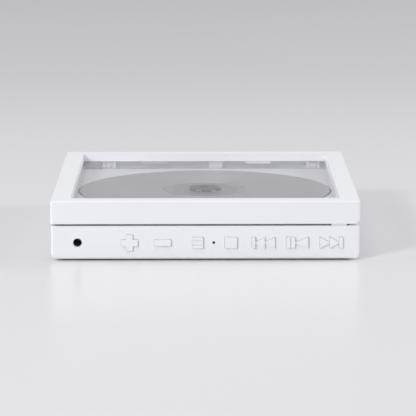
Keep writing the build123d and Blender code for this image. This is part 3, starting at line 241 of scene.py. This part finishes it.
def deck_white():
    return moulded_plastic(
        "deck_white", (0.89, 0.893, 0.92), rough=0.48, grain=0.25 * MM, depth=0.010 * MM
    )


def button_white():
    return moulded_plastic("button_white", (0.87, 0.875, 0.905), rough=0.30, depth=0.004 * MM)


def clip_white():
    return moulded_plastic("clip_white", (0.94, 0.94, 0.96), rough=0.42)


def bracket_white():
    return moulded_plastic("bracket_white", (0.89, 0.89, 0.92), rough=0.40)


def switch_grey():
    return moulded_plastic("switch_grey", (0.10, 0.10, 0.105), rough=0.45)


def chassis_grey():
    colour = (0.045, 0.046, 0.05)
    return moulded_plastic(
        "chassis_grey", colour, rough=0.5, grain=0.3 * MM, depth=0.010 * MM, cloud=0.12
    )


def sled_black():
    return moulded_plastic("sled_black", (0.022, 0.022, 0.024), rough=0.42, cloud=0.15)


def cover_black():
    return moulded_plastic("cover_black", (0.03, 0.03, 0.032), rough=0.35, cloud=0.15)


def socket_black():
    return moulded_plastic("socket_black", (0.20, 0.20, 0.205), rough=0.4, cloud=0.15)


def hub_grey():
    return moulded_plastic("hub_grey", (0.125, 0.125, 0.13), rough=0.4, cloud=0.1)


def pawl_white():
    return moulded_plastic("pawl_white", (0.34, 0.34, 0.35), rough=0.3)


def gear_white():
    """Acetal: slightly waxy, with the faint flow rings of its gate."""
    f = Finish("gear_white")
    ring = f.wave(f.radius(f.from_middle("reduction_gear")), 0.7 * MM)
    fine = f.noise(0.3 * MM)
    tone = f.mix(f.noise(4 * MM), (0.78, 0.77, 0.72), (0.84, 0.83, 0.79))
    height = 0.5 + 0.25 * ring + 0.25 * fine
    return f.done(f.plastic(tone, 0.33 + 0.04 * fine, f.bump(height, 0.008 * MM)))


# ---------------------------------------------------------------- rubber
def soft_rubber(name, colour, rough):
    """Rubber with a matt skin and a paler bloom here and there."""
    f = Finish(name)
    skin = f.noise(0.4 * MM, detail=4.0, roughness=0.7)
    bloom = f.rise(f.noise(3 * MM, detail=3.0), 0.45, 0.75)
    tone = f.mix(bloom, colour, tuple(c + 0.05 for c in colour))
    return f.done(f.plastic(tone, rough + 0.12 * skin, f.bump(skin, 0.03 * MM), sheen=0.15))


def foot_rubber():
    return soft_rubber("foot_rubber", (0.16, 0.16, 0.165), rough=0.62)


def bumper_silicone():
    return soft_rubber("bumper_silicone", (0.80, 0.80, 0.80), rough=0.42)


def damper_rubber():
    return soft_rubber("damper_rubber", (0.02, 0.02, 0.021), rough=0.6)


# ---------------------------------------------------------------- metals
def turned_metal(name, colour, rough, streak):
    """Bright metal with fine tool lines across the stretched axis."""
    f = Finish(name)
    lines = f.noise(0.6 * MM, detail=4.0, roughness=0.7, stretch=streak)
    haze = f.noise(6 * MM)
    tone = f.mix(haze, tuple(c * 0.92 for c in colour), colour)
    gloss = rough + 0.10 * (lines - 0.5) + 0.06 * haze
    return f.done(f.plastic(tone, gloss, f.bump(lines, 0.006 * MM), metallic=1.0))


def steel():
    return turned_metal("steel", (0.62, 0.62, 0.63), rough=0.22, streak=(12.0, 1.0, 1.0))


def nickel():
    return turned_metal("nickel", (0.66, 0.64, 0.61), rough=0.18, streak=(3.0, 3.0, 1.0))


def motor_can():
    return turned_metal("motor_can", (0.60, 0.60, 0.60), rough=0.24, streak=(1.0, 1.0, 14.0))


def pinion_brass():
    return turned_metal("pinion_brass", (0.78, 0.60, 0.30), rough=0.24, streak=(1.0, 1.0, 6.0))


def screw_black():
    """Black zinc on the screws, rubbed to grey where a driver turned them."""
    f = Finish("screw_black")
    rub = f.rise(f.noise(0.9 * MM, detail=4.0, roughness=0.7), 0.55, 0.8)
    tone = f.mix(rub, (0.035, 0.035, 0.038), (0.20, 0.19, 0.18))
    fine = f.noise(0.2 * MM, detail=3.0)
    return f.done(f.plastic(tone, 0.34 + 0.12 * fine, f.bump(fine, 0.008 * MM), metallic=1.0))


TONGUE_WIDE, TONGUE_THICK = 6.7 * MM, 0.8 * MM
CONTACT_PITCH = 0.5 * MM
CONTACTS_FROM, CONTACTS_FULL = 0.30 * MM, 0.34 * MM     # height from the middle of the tongue


def port_metal():
    """The power socket: a drawn steel shell round a black tongue with gilded contacts."""
    f = Finish("port_metal")
    x, _, z = f.axes(f.from_middle("usb_c_receptacle"))
    tongue = f.between(x, -TONGUE_WIDE / 2, TONGUE_WIDE / 2, EDGE)
    tongue = tongue * f.between(z, -TONGUE_THICK / 2, TONGUE_THICK / 2, EDGE)
    stripe = f.rise(f.wave(x, CONTACT_PITCH), 0.0, 0.3)
    side = f.rise(f.math("ABSOLUTE", z), CONTACTS_FROM, CONTACTS_FULL)
    contact = tongue * stripe * side
    lines = f.noise(0.8 * MM, detail=4.0, stretch=(1.0, 10.0, 1.0))
    shell = f.mix(lines, (0.56, 0.56, 0.57), (0.64, 0.64, 0.65))
    tone = f.mix(contact, f.mix(tongue, shell, (0.015, 0.015, 0.016)), (0.83, 0.62, 0.28))
    metal = 1 - tongue * (1 - contact)
    return f.done(f.plastic(tone, 0.26 + 0.1 * lines, f.bump(lines, 0.004 * MM), metallic=metal))


# ---------------------------------------------------------------- disc drive
def turntable_grey():
    """Turntable and its felt-like pad: rings from the lathe, dull between them."""
    f = Finish("turntable_grey")
    ring = f.wave(f.radius(), 0.4 * MM)
    fine = f.noise(0.3 * MM, detail=3.0)
    tone = f.mix(f.noise(3 * MM), (0.07, 0.07, 0.075), (0.10, 0.10, 0.105))
    height = 0.5 + 0.3 * ring + 0.2 * fine
    return f.done(f.plastic(tone, 0.5 + 0.1 * fine, f.bump(height, 0.010 * MM)))


# radii on the disc
STACKING_RING = (16.6 * MM, 17.2 * MM)
MIRROR_BAND = (18.2 * MM, 20.0 * MM)
SILVERED = (18.2 * MM, 59.3 * MM)
CLEAR_RIM = (58.0 * MM, 58.2 * MM)


def disc_silver():
    """A pressed disc: clear hub ring, mirror band, silvered playing area, clear rim."""
    f = Finish("disc_silver")
    r = f.radius()
    silvered = f.between(r, *SILVERED, 0.15 * MM)
    band = f.between(r, *MIRROR_BAND, 0.1 * MM)
    ridge = f.between(r, *STACKING_RING, 0.1 * MM)
    rim = f.rise(r, *CLEAR_RIM)
    haze = f.noise(30 * MM)
    clear = f.mix(ridge, (0.30, 0.298, 0.315), (0.44, 0.438, 0.462))
    plain = f.mix(rim, clear, (0.62, 0.62, 0.64))
    coated = f.mix(haze, (0.61, 0.603, 0.648), (0.63, 0.623, 0.668))
    tone = f.mix(silvered, plain, f.mix(band, coated, (0.51, 0.51, 0.53)))
    gloss = 0.22 + 0.16 * silvered * (1 - band) + 0.02 * haze
    extras = {
        "metallic": 0.55 * silvered,
        "coat": 0.2,
        "coat_roughness": 0.1,
        "anisotropic": 0.9,
        "anisotropic_turn": 0.25,
    }
    return f.done(f.plastic(tone, gloss, f.bump(ridge, 0.02 * MM), **extras))


def lens_glass():
    """The moulded lens, with the violet of its coating."""
    f = Finish("lens_glass")
    r = f.radius(f.from_middle("objective_lens"))
    tone = f.mix(f.rise(r, 1.2 * MM, 1.9 * MM), (0.10, 0.06, 0.26), (0.30, 0.30, 0.34))
    smear = f.noise(1.2 * MM, detail=3.0)
    return f.done(f.plastic(tone, 0.03 + 0.05 * smear, coat=1.0, coat_roughness=0.03))


# ---------------------------------------------------------------- electronics
def board_green():
    """A circuit board: solder mask over copper tracks, with tinned pads."""
    f = Finish("board_green")
    track = f.cells(2.2 * MM, "DISTANCE_TO_EDGE", stretch=(1.0, 1.6, 1.0))
    copper = 1 - f.rise(track, 0.06, 0.10)
    pad = 1 - f.rise(f.cells(3.1 * MM), 0.11, 0.13)
    fine = f.noise(0.4 * MM, detail=3.0)
    mask = f.mix(copper, (0.010, 0.075, 0.030), (0.022, 0.14, 0.055))
    tone = f.mix(pad, mask, (0.62, 0.61, 0.58))
    normal = f.bump(0.4 * copper + 0.5 * pad + 0.1 * fine, 0.04 * MM)
    return f.done(f.plastic(tone, 0.32 + 0.1 * fine, normal, metallic=0.9 * pad))


def chip_black():
    """Moulded epoxy, dull and sandy."""
    f = Finish("chip_black")
    fine = f.noise(0.25 * MM, detail=4.0, roughness=0.7)
    tone = f.mix(f.noise(4 * MM), (0.018, 0.018, 0.019), (0.030, 0.030, 0.031))
    return f.done(f.plastic(tone, 0.55 + 0.15 * fine, f.bump(fine, 0.02 * MM)))


TAPE = 5 * MM           # width of the tape at each end of the battery


def pouch_silver():
    """The battery's foil pouch, slightly wrinkled, under yellow tape at its ends."""
    f = Finish("pouch_silver")
    low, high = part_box("battery_pack")
    _, y, _ = f.axes()
    tape = 1 - f.between(y, low.y + TAPE, high.y - TAPE, 0.1 * MM)
    wrinkle = f.noise(6 * MM, detail=4.0, roughness=0.6, stretch=(0.6, 1.0, 1.0))
    foil = f.mix(wrinkle, (0.50, 0.50, 0.51), (0.62, 0.62, 0.63))
    tone = f.mix(tape, foil, (0.62, 0.38, 0.05))
    normal = f.bump(wrinkle, 0.2 * MM)
    return f.done(f.plastic(tone, 0.30 + 0.15 * wrinkle, normal, metallic=0.8 - 0.8 * tape))


def ribbon_film():
    """A flat cable: amber film over a row of tinned conductors."""
    f = Finish("ribbon_film")
    x, _, _ = f.axes()
    lane = f.rise(f.wave(x, 0.5 * MM), -0.1, 0.3)
    haze = f.noise(3 * MM)
    tinned = f.mix(haze, (0.55, 0.40, 0.20), (0.62, 0.46, 0.24))
    tone = f.mix(lane, (0.35, 0.16, 0.03), tinned)
    return f.done(f.plastic(tone, 0.22 + 0.08 * haze, f.bump(lane, 0.03 * MM), coat=0.4))


def led_clear():
    """The lens of the indicator's lamp, slightly yellow."""
    f = Finish("led_clear")
    haze = f.noise(0.5 * MM)
    tone = f.mix(haze, (0.70, 0.69, 0.60), (0.78, 0.77, 0.70))
    return f.done(f.plastic(tone, 0.15 + 0.1 * haze, coat=0.8))


def light_smoke():
    """The light pipe of the indicator, dark while it is off."""
    f = Finish("light_smoke")
    haze = f.noise(0.6 * MM)
    tone = f.mix(haze, (0.006, 0.006, 0.007), (0.012, 0.012, 0.013))
    return f.done(f.plastic(tone, 0.22 + 0.08 * haze, specular=0.25))


# ---------------------------------------------------------------- window pane
PANE_TINT = (0.995, 0.995, 1.0)    # what each face of the pane lets through
HEAD_ON_SHINE = 0.04               # the share that it mirrors, seen head on
GRAZING_SHINE = 0.96               # and how much more it mirrors at the lowest angle


def clear_pane():
    """Clear acrylic: it shows what lies below it and mirrors the room at a low angle."""
    f = Finish("clear_pane")
    dust = f.noise(10 * MM, detail=5.0, roughness=0.7)
    through = f.node("BsdfTransparent", None, {"Color": (*PANE_TINT, 1.0)})
    mirror = f.node("BsdfAnisotropic", None, {"Roughness": 0.02 + 0.03 * dust})
    grazing = f.node("LayerWeight", None, {"Blend": 0.5}, output="Facing") ** 5.0
    outer = 1 - f.node("NewGeometry", output="Backfacing")
    share = (HEAD_ON_SHINE + GRAZING_SHINE * grazing) * outer
    return f.done(f.node("MixShader", None, {0: share, 1: through, 2: mirror}))


# ---------------------------------------------------------------- coating the nodes
FINISHES = {
    maker.__name__: maker
    for maker in (
        shell_white, deck_white, button_white, clear_pane, clip_white, foot_rubber,
        bumper_silicone, steel, screw_black, nickel, bracket_white, board_green, chip_black,
        switch_grey, led_clear, light_smoke, socket_black, port_metal, pouch_silver, ribbon_film,
        chassis_grey, damper_rubber, motor_can, gear_white, pinion_brass, sled_black, cover_black,
        lens_glass, turntable_grey, hub_grey, pawl_white, disc_silver,
    )
}


def coat_all():
    """Every CAD node takes the finish named for its slot in the record."""
    made = {}
    for part in frame["record"]["subparts"]:
        name = part["material_slot"]
        if name not in made:
            made[name] = FINISHES[name]()
        for slot in nodes[part["node"]].material_slots:
            slot.material = made[name]
    return made


# ---------------------------------------------------------------- screws
HEAD_UP, HEAD_DOWN = "head up", "head down"
HEAD_SIDES = 48
DOME, DOME_STEPS = 0.45, 5      # the head's rounding, as a share of its height
CORE = 0.76                     # the shank inside the thread, as a share of the thread's radius
TIP, TIP_END = 0.9, 0.3         # the tip's length in thread radii, and how far it narrows
RIDGE_ROOT = 0.9                # the ridge's foot, as a share of the shank's radius
RIDGE_HALF = 0.32               # half the ridge's width there, as a share of the pitch
TURN_STEPS = 24
CROSS_HALF, CROSS_REACH = 0.13, 0.56        # the recess, as shares of the head's radius
CROSS_DEPTH, CROSS_TAPER = 0.62, 0.5        # its depth in head heights, and how far it narrows
CROSS_ABOVE = 0.1 * MM          # how far the cutting cross stands above the head
SAME_SCREW = 2.1                # corners within this many head radii are one screw's
TURN_EACH = 0.7                 # radians from one screw's recess to the next
SMOOTH_UNDER = math.radians(32)
NEARLY = 0.9                    # how near a height, a place or a normal comes to count as there

# node, piece, then in mm the head's radius and height, the thread's radius and pitch
SCREWS = (
    ("case_screws", "case_screw", 2.0, 1.4, 1.0, 0.8, HEAD_DOWN, "screw_black"),
    ("hinge_screws", "hinge_screw", 1.6, 1.0, 0.8, 0.7, HEAD_DOWN, "screw_black"),
    ("board_screws", "board_screw", 1.6, 0.9, 0.8, 0.65, HEAD_UP, "steel"),
    ("motor_screws", "motor_screw", 1.4, 0.6, 0.8, 0.5, HEAD_UP, "steel"),
    ("mechanism_screws", "mechanism_screw", 3.0, 1.0, 1.0, 0.8, HEAD_UP, "steel"),
)


def name_new(name):
    """Names the primitive just added."""
    piece = bpy.context.object
    piece.name = name
    return piece


def pick(piece, kind, test):
    """Selects, in edit mode, only the vertices, edges or faces that pass a test."""
    bpy.ops.mesh.select_all(action="DESELECT")
    bpy.ops.mesh.select_mode(type=kind)
    mesh = bmesh.from_edit_mesh(piece.data)
    for item in {"VERT": mesh.verts, "EDGE": mesh.edges, "FACE": mesh.faces}[kind]:
        item.select_set(test(item))
    mesh.select_flush_mode()
    bmesh.update_edit_mesh(piece.data)


def extrude(x=0.0, y=0.0, z=0.0):
    bpy.ops.mesh.extrude_region_move(TRANSFORM_OT_translate={"value": (x, y, z)})


def screw_body(head_r, head_h, core_r, length, tip):
    """A pan head on a plain shank with a blunt tip, its seat at z 0 and its tip down."""
    bpy.ops.object.select_all(action="DESELECT")
    bpy.ops.mesh.primitive_cylinder_add(
        vertices=HEAD_SIDES, radius=head_r, depth=head_h, location=(0.0, 0.0, head_h / 2)
    )
    bpy.ops.object.transform_apply()
    body = name_new("screw_body")
    bpy.ops.object.mode_set(mode="EDIT")
    pick(body, "EDGE", lambda edge: all(v.co.z > NEARLY * head_h for v in edge.verts))
    bpy.ops.mesh.bevel(offset=head_h * DOME, segments=DOME_STEPS, affect="EDGES")
    pick(body, "FACE", lambda face: face.normal.z < -NEARLY)
    bpy.ops.mesh.inset(thickness=head_r - core_r)
    extrude(z=tip - length)
    extrude(z=-tip)
    bpy.ops.transform.resize(value=(TIP_END, TIP_END, 1.0))
    bpy.ops.object.mode_set(mode="OBJECT")
    return body


def screw_thread(thread_r, core_r, pitch, length):
    """A three-sided ridge wound round the shank, from just under the head to the tip."""
    root_r, half = RIDGE_ROOT * core_r, RIDGE_HALF * pitch
    bpy.ops.object.select_all(action="DESELECT")
    bpy.ops.mesh.primitive_circle_add(vertices=3, radius=1.0 * MM)
    ridge = name_new("screw_thread")
    corners = ((root_r, -half), (thread_r, 0.0), (root_r, half))
    for vertex, (x, z) in zip(ridge.data.vertices, corners):
        vertex.co = (x, 0.0, z - length)
    winding = ridge.modifiers.new("winding", "SCREW")
    winding.axis = "Z"
    winding.screw_offset = pitch
    winding.iterations = int((length - 2 * half) / pitch)
    winding.steps = winding.render_steps = TURN_STEPS
    bpy.ops.object.modifier_apply(modifier="winding")
    bpy.ops.object.mode_set(mode="EDIT")
    bpy.ops.mesh.select_all(action="SELECT")
    bpy.ops.mesh.fill_holes(sides=3)
    bpy.ops.mesh.select_all(action="SELECT")
    bpy.ops.mesh.normals_make_consistent(inside=False)
    bpy.ops.object.mode_set(mode="OBJECT")
    return ridge


def core_face(side, half):
    """A test for the core's own face on one side, and not for the flank of another arm."""

    def test(face):
        place = face.calc_center_median()
        on_line = abs(place.cross(side).z) < (1 - NEARLY) * half
        return face.normal.dot(side) > NEARLY and place.dot(side) > NEARLY * half and on_line

    return test


def cross_driver(head_r, head_h):
    """The tapered cross that cuts the recess."""
    half, reach = CROSS_HALF * head_r, CROSS_REACH * head_r
    depth = CROSS_DEPTH * head_h
    bottom, height = head_h - depth, depth + CROSS_ABOVE
    bpy.ops.object.select_all(action="DESELECT")
    bpy.ops.mesh.primitive_cube_add(
        size=1.0, location=(0.0, 0.0, bottom + height / 2), scale=(2 * half, 2 * half, height)
    )
    bpy.ops.object.transform_apply()
    cross = name_new("cross_driver")
    bpy.ops.object.mode_set(mode="EDIT")
    for x, y in ((1, 0), (-1, 0), (0, 1), (0, -1)):
        side = Vector((x, y, 0.0))
        pick(cross, "FACE", core_face(side, half))
        extrude(*(side * (reach - half)))
    pick(cross, "VERT", lambda vertex: vertex.co.z < head_h - depth / 2)
    taper = (CROSS_TAPER, CROSS_TAPER, 1.0)
    bpy.ops.transform.resize(value=taper, center_override=(0.0, 0.0, bottom))
    bpy.ops.object.mode_set(mode="OBJECT")
    return cross


def combine(piece, tool, operation):
    """Applies a boolean with a tool, and clears the tool away."""
    step = piece.modifiers.new("combine", "BOOLEAN")
    step.operation, step.solver, step.object = operation, "EXACT", tool
    bpy.ops.object.select_all(action="DESELECT")
    piece.select_set(True)
    bpy.context.view_layer.objects.active = piece
    bpy.ops.object.modifier_apply(modifier="combine")
    bpy.data.objects.remove(tool, do_unlink=True)


def screw_model(head_r, head_h, thread_r, pitch, length):
    """One whole screw, its seat at z 0 and its tip down."""
    core_r, tip = CORE * thread_r, TIP * thread_r
    model = screw_body(head_r, head_h, core_r, length, tip)
    combine(model, screw_thread(thread_r, core_r, pitch, length - tip), "UNION")
    combine(model, cross_driver(head_r, head_h), "DIFFERENCE")
    bpy.ops.object.shade_smooth_by_angle(angle=SMOOTH_UNDER)
    return model


def standing_places(node, reach):
    """The lowest and highest corner of each upright screw in a CAD node."""
    groups = []
    for vertex in nodes[node].data.vertices:
        group = next((g for g in groups if (g[0].xy - vertex.co.xy).length < reach), None)
        if group is None:
            groups.append(group := [])
        group.append(vertex.co.copy())
    ends = ([Vector(end(axis) for axis in zip(*group)) for end in (min, max)] for group in groups)
    return sorted(ends, key=lambda low_high: tuple(low_high[0]))


def fit_screws(materials):
    """Every screw of the model gets its thread and its cross recess."""
    for node, name, head_r, head_h, thread_r, pitch, way, finish in SCREWS:
        places = standing_places(node, SAME_SCREW * head_r * MM)
        low, high = places[0]
        length = high.z - low.z - head_h * MM
        model = screw_model(*(size * MM for size in (head_r, head_h, thread_r, pitch)), length)
        model.data.materials.clear()
        model.data.materials.append(materials[finish])
        for number, (low, high) in enumerate(places, start=1):
            if way == HEAD_UP:
                seat, tilt = high.z - head_h * MM, 0.0
            else:
                seat, tilt = low.z + head_h * MM, math.pi
            turn = Matrix.Rotation(tilt, 4, "X") @ Matrix.Rotation(TURN_EACH * number, 4, "Z")
            place = ((low.x + high.x) / 2, (low.y + high.y) / 2, seat)
            screw = bpy.data.objects.new(f"{name}_{number}", model.data.copy())
            bpy.context.scene.collection.objects.link(screw)
            screw.data.transform(Matrix.Translation(place) @ turn)
            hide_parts(node)
            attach(screw, "base")
        bpy.data.objects.remove(model, do_unlink=True)


# ---------------------------------------------------------------- stage
FLOOR_R = 6.0
FLOOR_SIDES = 128
FLOOR_RINGS = (0.5, 0.25, 0.12)     # width of each ring, from the rim inwards, in floor radii
NEAR_TONE, FAR_TONE = (0.763, 0.763, 0.778), (0.655, 0.655, 0.665)
RIM_TONE = (0.86, 0.86, 0.87)
NEAR_TO_FAR = (0.22, 0.75)          # distances over which the paint goes from tone to tone
FAR_TO_RIM = (2.2, 3.6)


def round_stage():
    """A round floor, wide enough that every side has the same room behind it."""
    bpy.ops.object.select_all(action="DESELECT")
    bpy.ops.mesh.primitive_circle_add(vertices=FLOOR_SIDES, radius=FLOOR_R, fill_type="NGON")
    floor = name_new("stage")
    bpy.ops.object.mode_set(mode="EDIT")
    bpy.ops.mesh.select_all(action="SELECT")
    for share in FLOOR_RINGS:
        bpy.ops.mesh.inset(thickness=FLOOR_R * share)
    bpy.ops.object.mode_set(mode="OBJECT")
    return floor


def stage_paint():
    """Pale paint with a soft gloss, darker away from the object, as pale as the room at its rim."""
    f = Finish("stage_paint")
    r = f.radius()
    tone = f.mix(f.rise(r, *NEAR_TO_FAR), NEAR_TONE, FAR_TONE)
    tone = f.mix(f.rise(r, *FAR_TO_RIM), tone, RIM_TONE)
    return f.done(f.plastic(tone, 0.24 + 0.02 * f.noise(2 * MM)))


# ---------------------------------------------------------------- lights
MIDDLE = (0.0, 0.0, 15 * MM)
FRONT_EDGE = (0.0, -77 * MM, 12 * MM)

# name, place, what it points at, size, power, and whether it is mirrored: the low ones are not,
# so that no side shows their glare
LAMPS = (
    ("key", (-1.16, -1.47, 0.95), FRONT_EDGE, (0.45, 0.30), 18.6, False),
    ("top", (0.0, 0.3, 3.0), MIDDLE, (2.4, 2.4), 8.5, True),
    ("front", (-0.81, -1.154, 2.65), MIDDLE, (1.2, 1.2), 11.5, True),
    ("right", (1.9, 0.3, 0.75), MIDDLE, (1.0, 0.7), 19.0, False),
    ("left", (-1.9, 0.3, 0.9), MIDDLE, (1.0, 0.7), 6.0, False),
)
ROOM_COLOUR, ROOM_STRENGTH = (1.0, 1.0, 1.02), 0.50


def soft_lamp(name, place, aim, size, power, mirrored):
    """A soft box that points at a place."""
    lamp = bpy.data.lights.new(name, "AREA")
    lamp.shape = "RECTANGLE"
    lamp.size, lamp.size_y = size
    lamp.energy = power
    holder = bpy.data.objects.new(name, lamp)
    bpy.context.scene.collection.objects.link(holder)
    holder.location = place
    holder.rotation_euler = (Vector(aim) - Vector(place)).to_track_quat("-Z", "Y").to_euler()
    holder.visible_camera = False
    holder.visible_glossy = mirrored


def room_light():
    world = bpy.data.worlds.new("room")
    world.use_nodes = True
    background = world.node_tree.nodes["Background"]
    background.inputs["Color"].default_value = (*ROOM_COLOUR, 1.0)
    background.inputs["Strength"].default_value = ROOM_STRENGTH
    bpy.context.scene.world = world


# ---------------------------------------------------------------- camera
CAMERA_PLACE = (-3.2 * MM, -1191.6 * MM, 213.7 * MM)
CAMERA_PITCH, CAMERA_YAW, CAMERA_ROLL = 0.1684, 0.0040, -0.001      # radians
CAMERA_LENS, CAMERA_SENSOR = 216.9, 36.0                            # both in mm


def camera():
    lens = bpy.data.cameras.new("camera")
    lens.sensor_width = CAMERA_SENSOR
    lens.lens = CAMERA_LENS
    holder = bpy.data.objects.new("camera", lens)
    bpy.context.scene.collection.objects.link(holder)
    turn = Euler((math.pi / 2 - CAMERA_PITCH, 0.0, -CAMERA_YAW)).to_matrix()
    turn = turn @ Matrix.Rotation(CAMERA_ROLL, 3, "Z")
    holder.matrix_world = Matrix.Translation(CAMERA_PLACE) @ turn.to_4x4()
    bpy.context.scene.camera = holder


# ---------------------------------------------------------------- building it all
bpy.context.scene.view_settings.view_transform = "Standard"
camera()
fit_screws(coat_all())

stage = round_stage()
stage.data.materials.append(stage_paint())

for lamp in LAMPS:
    soft_lamp(*lamp)
room_light()
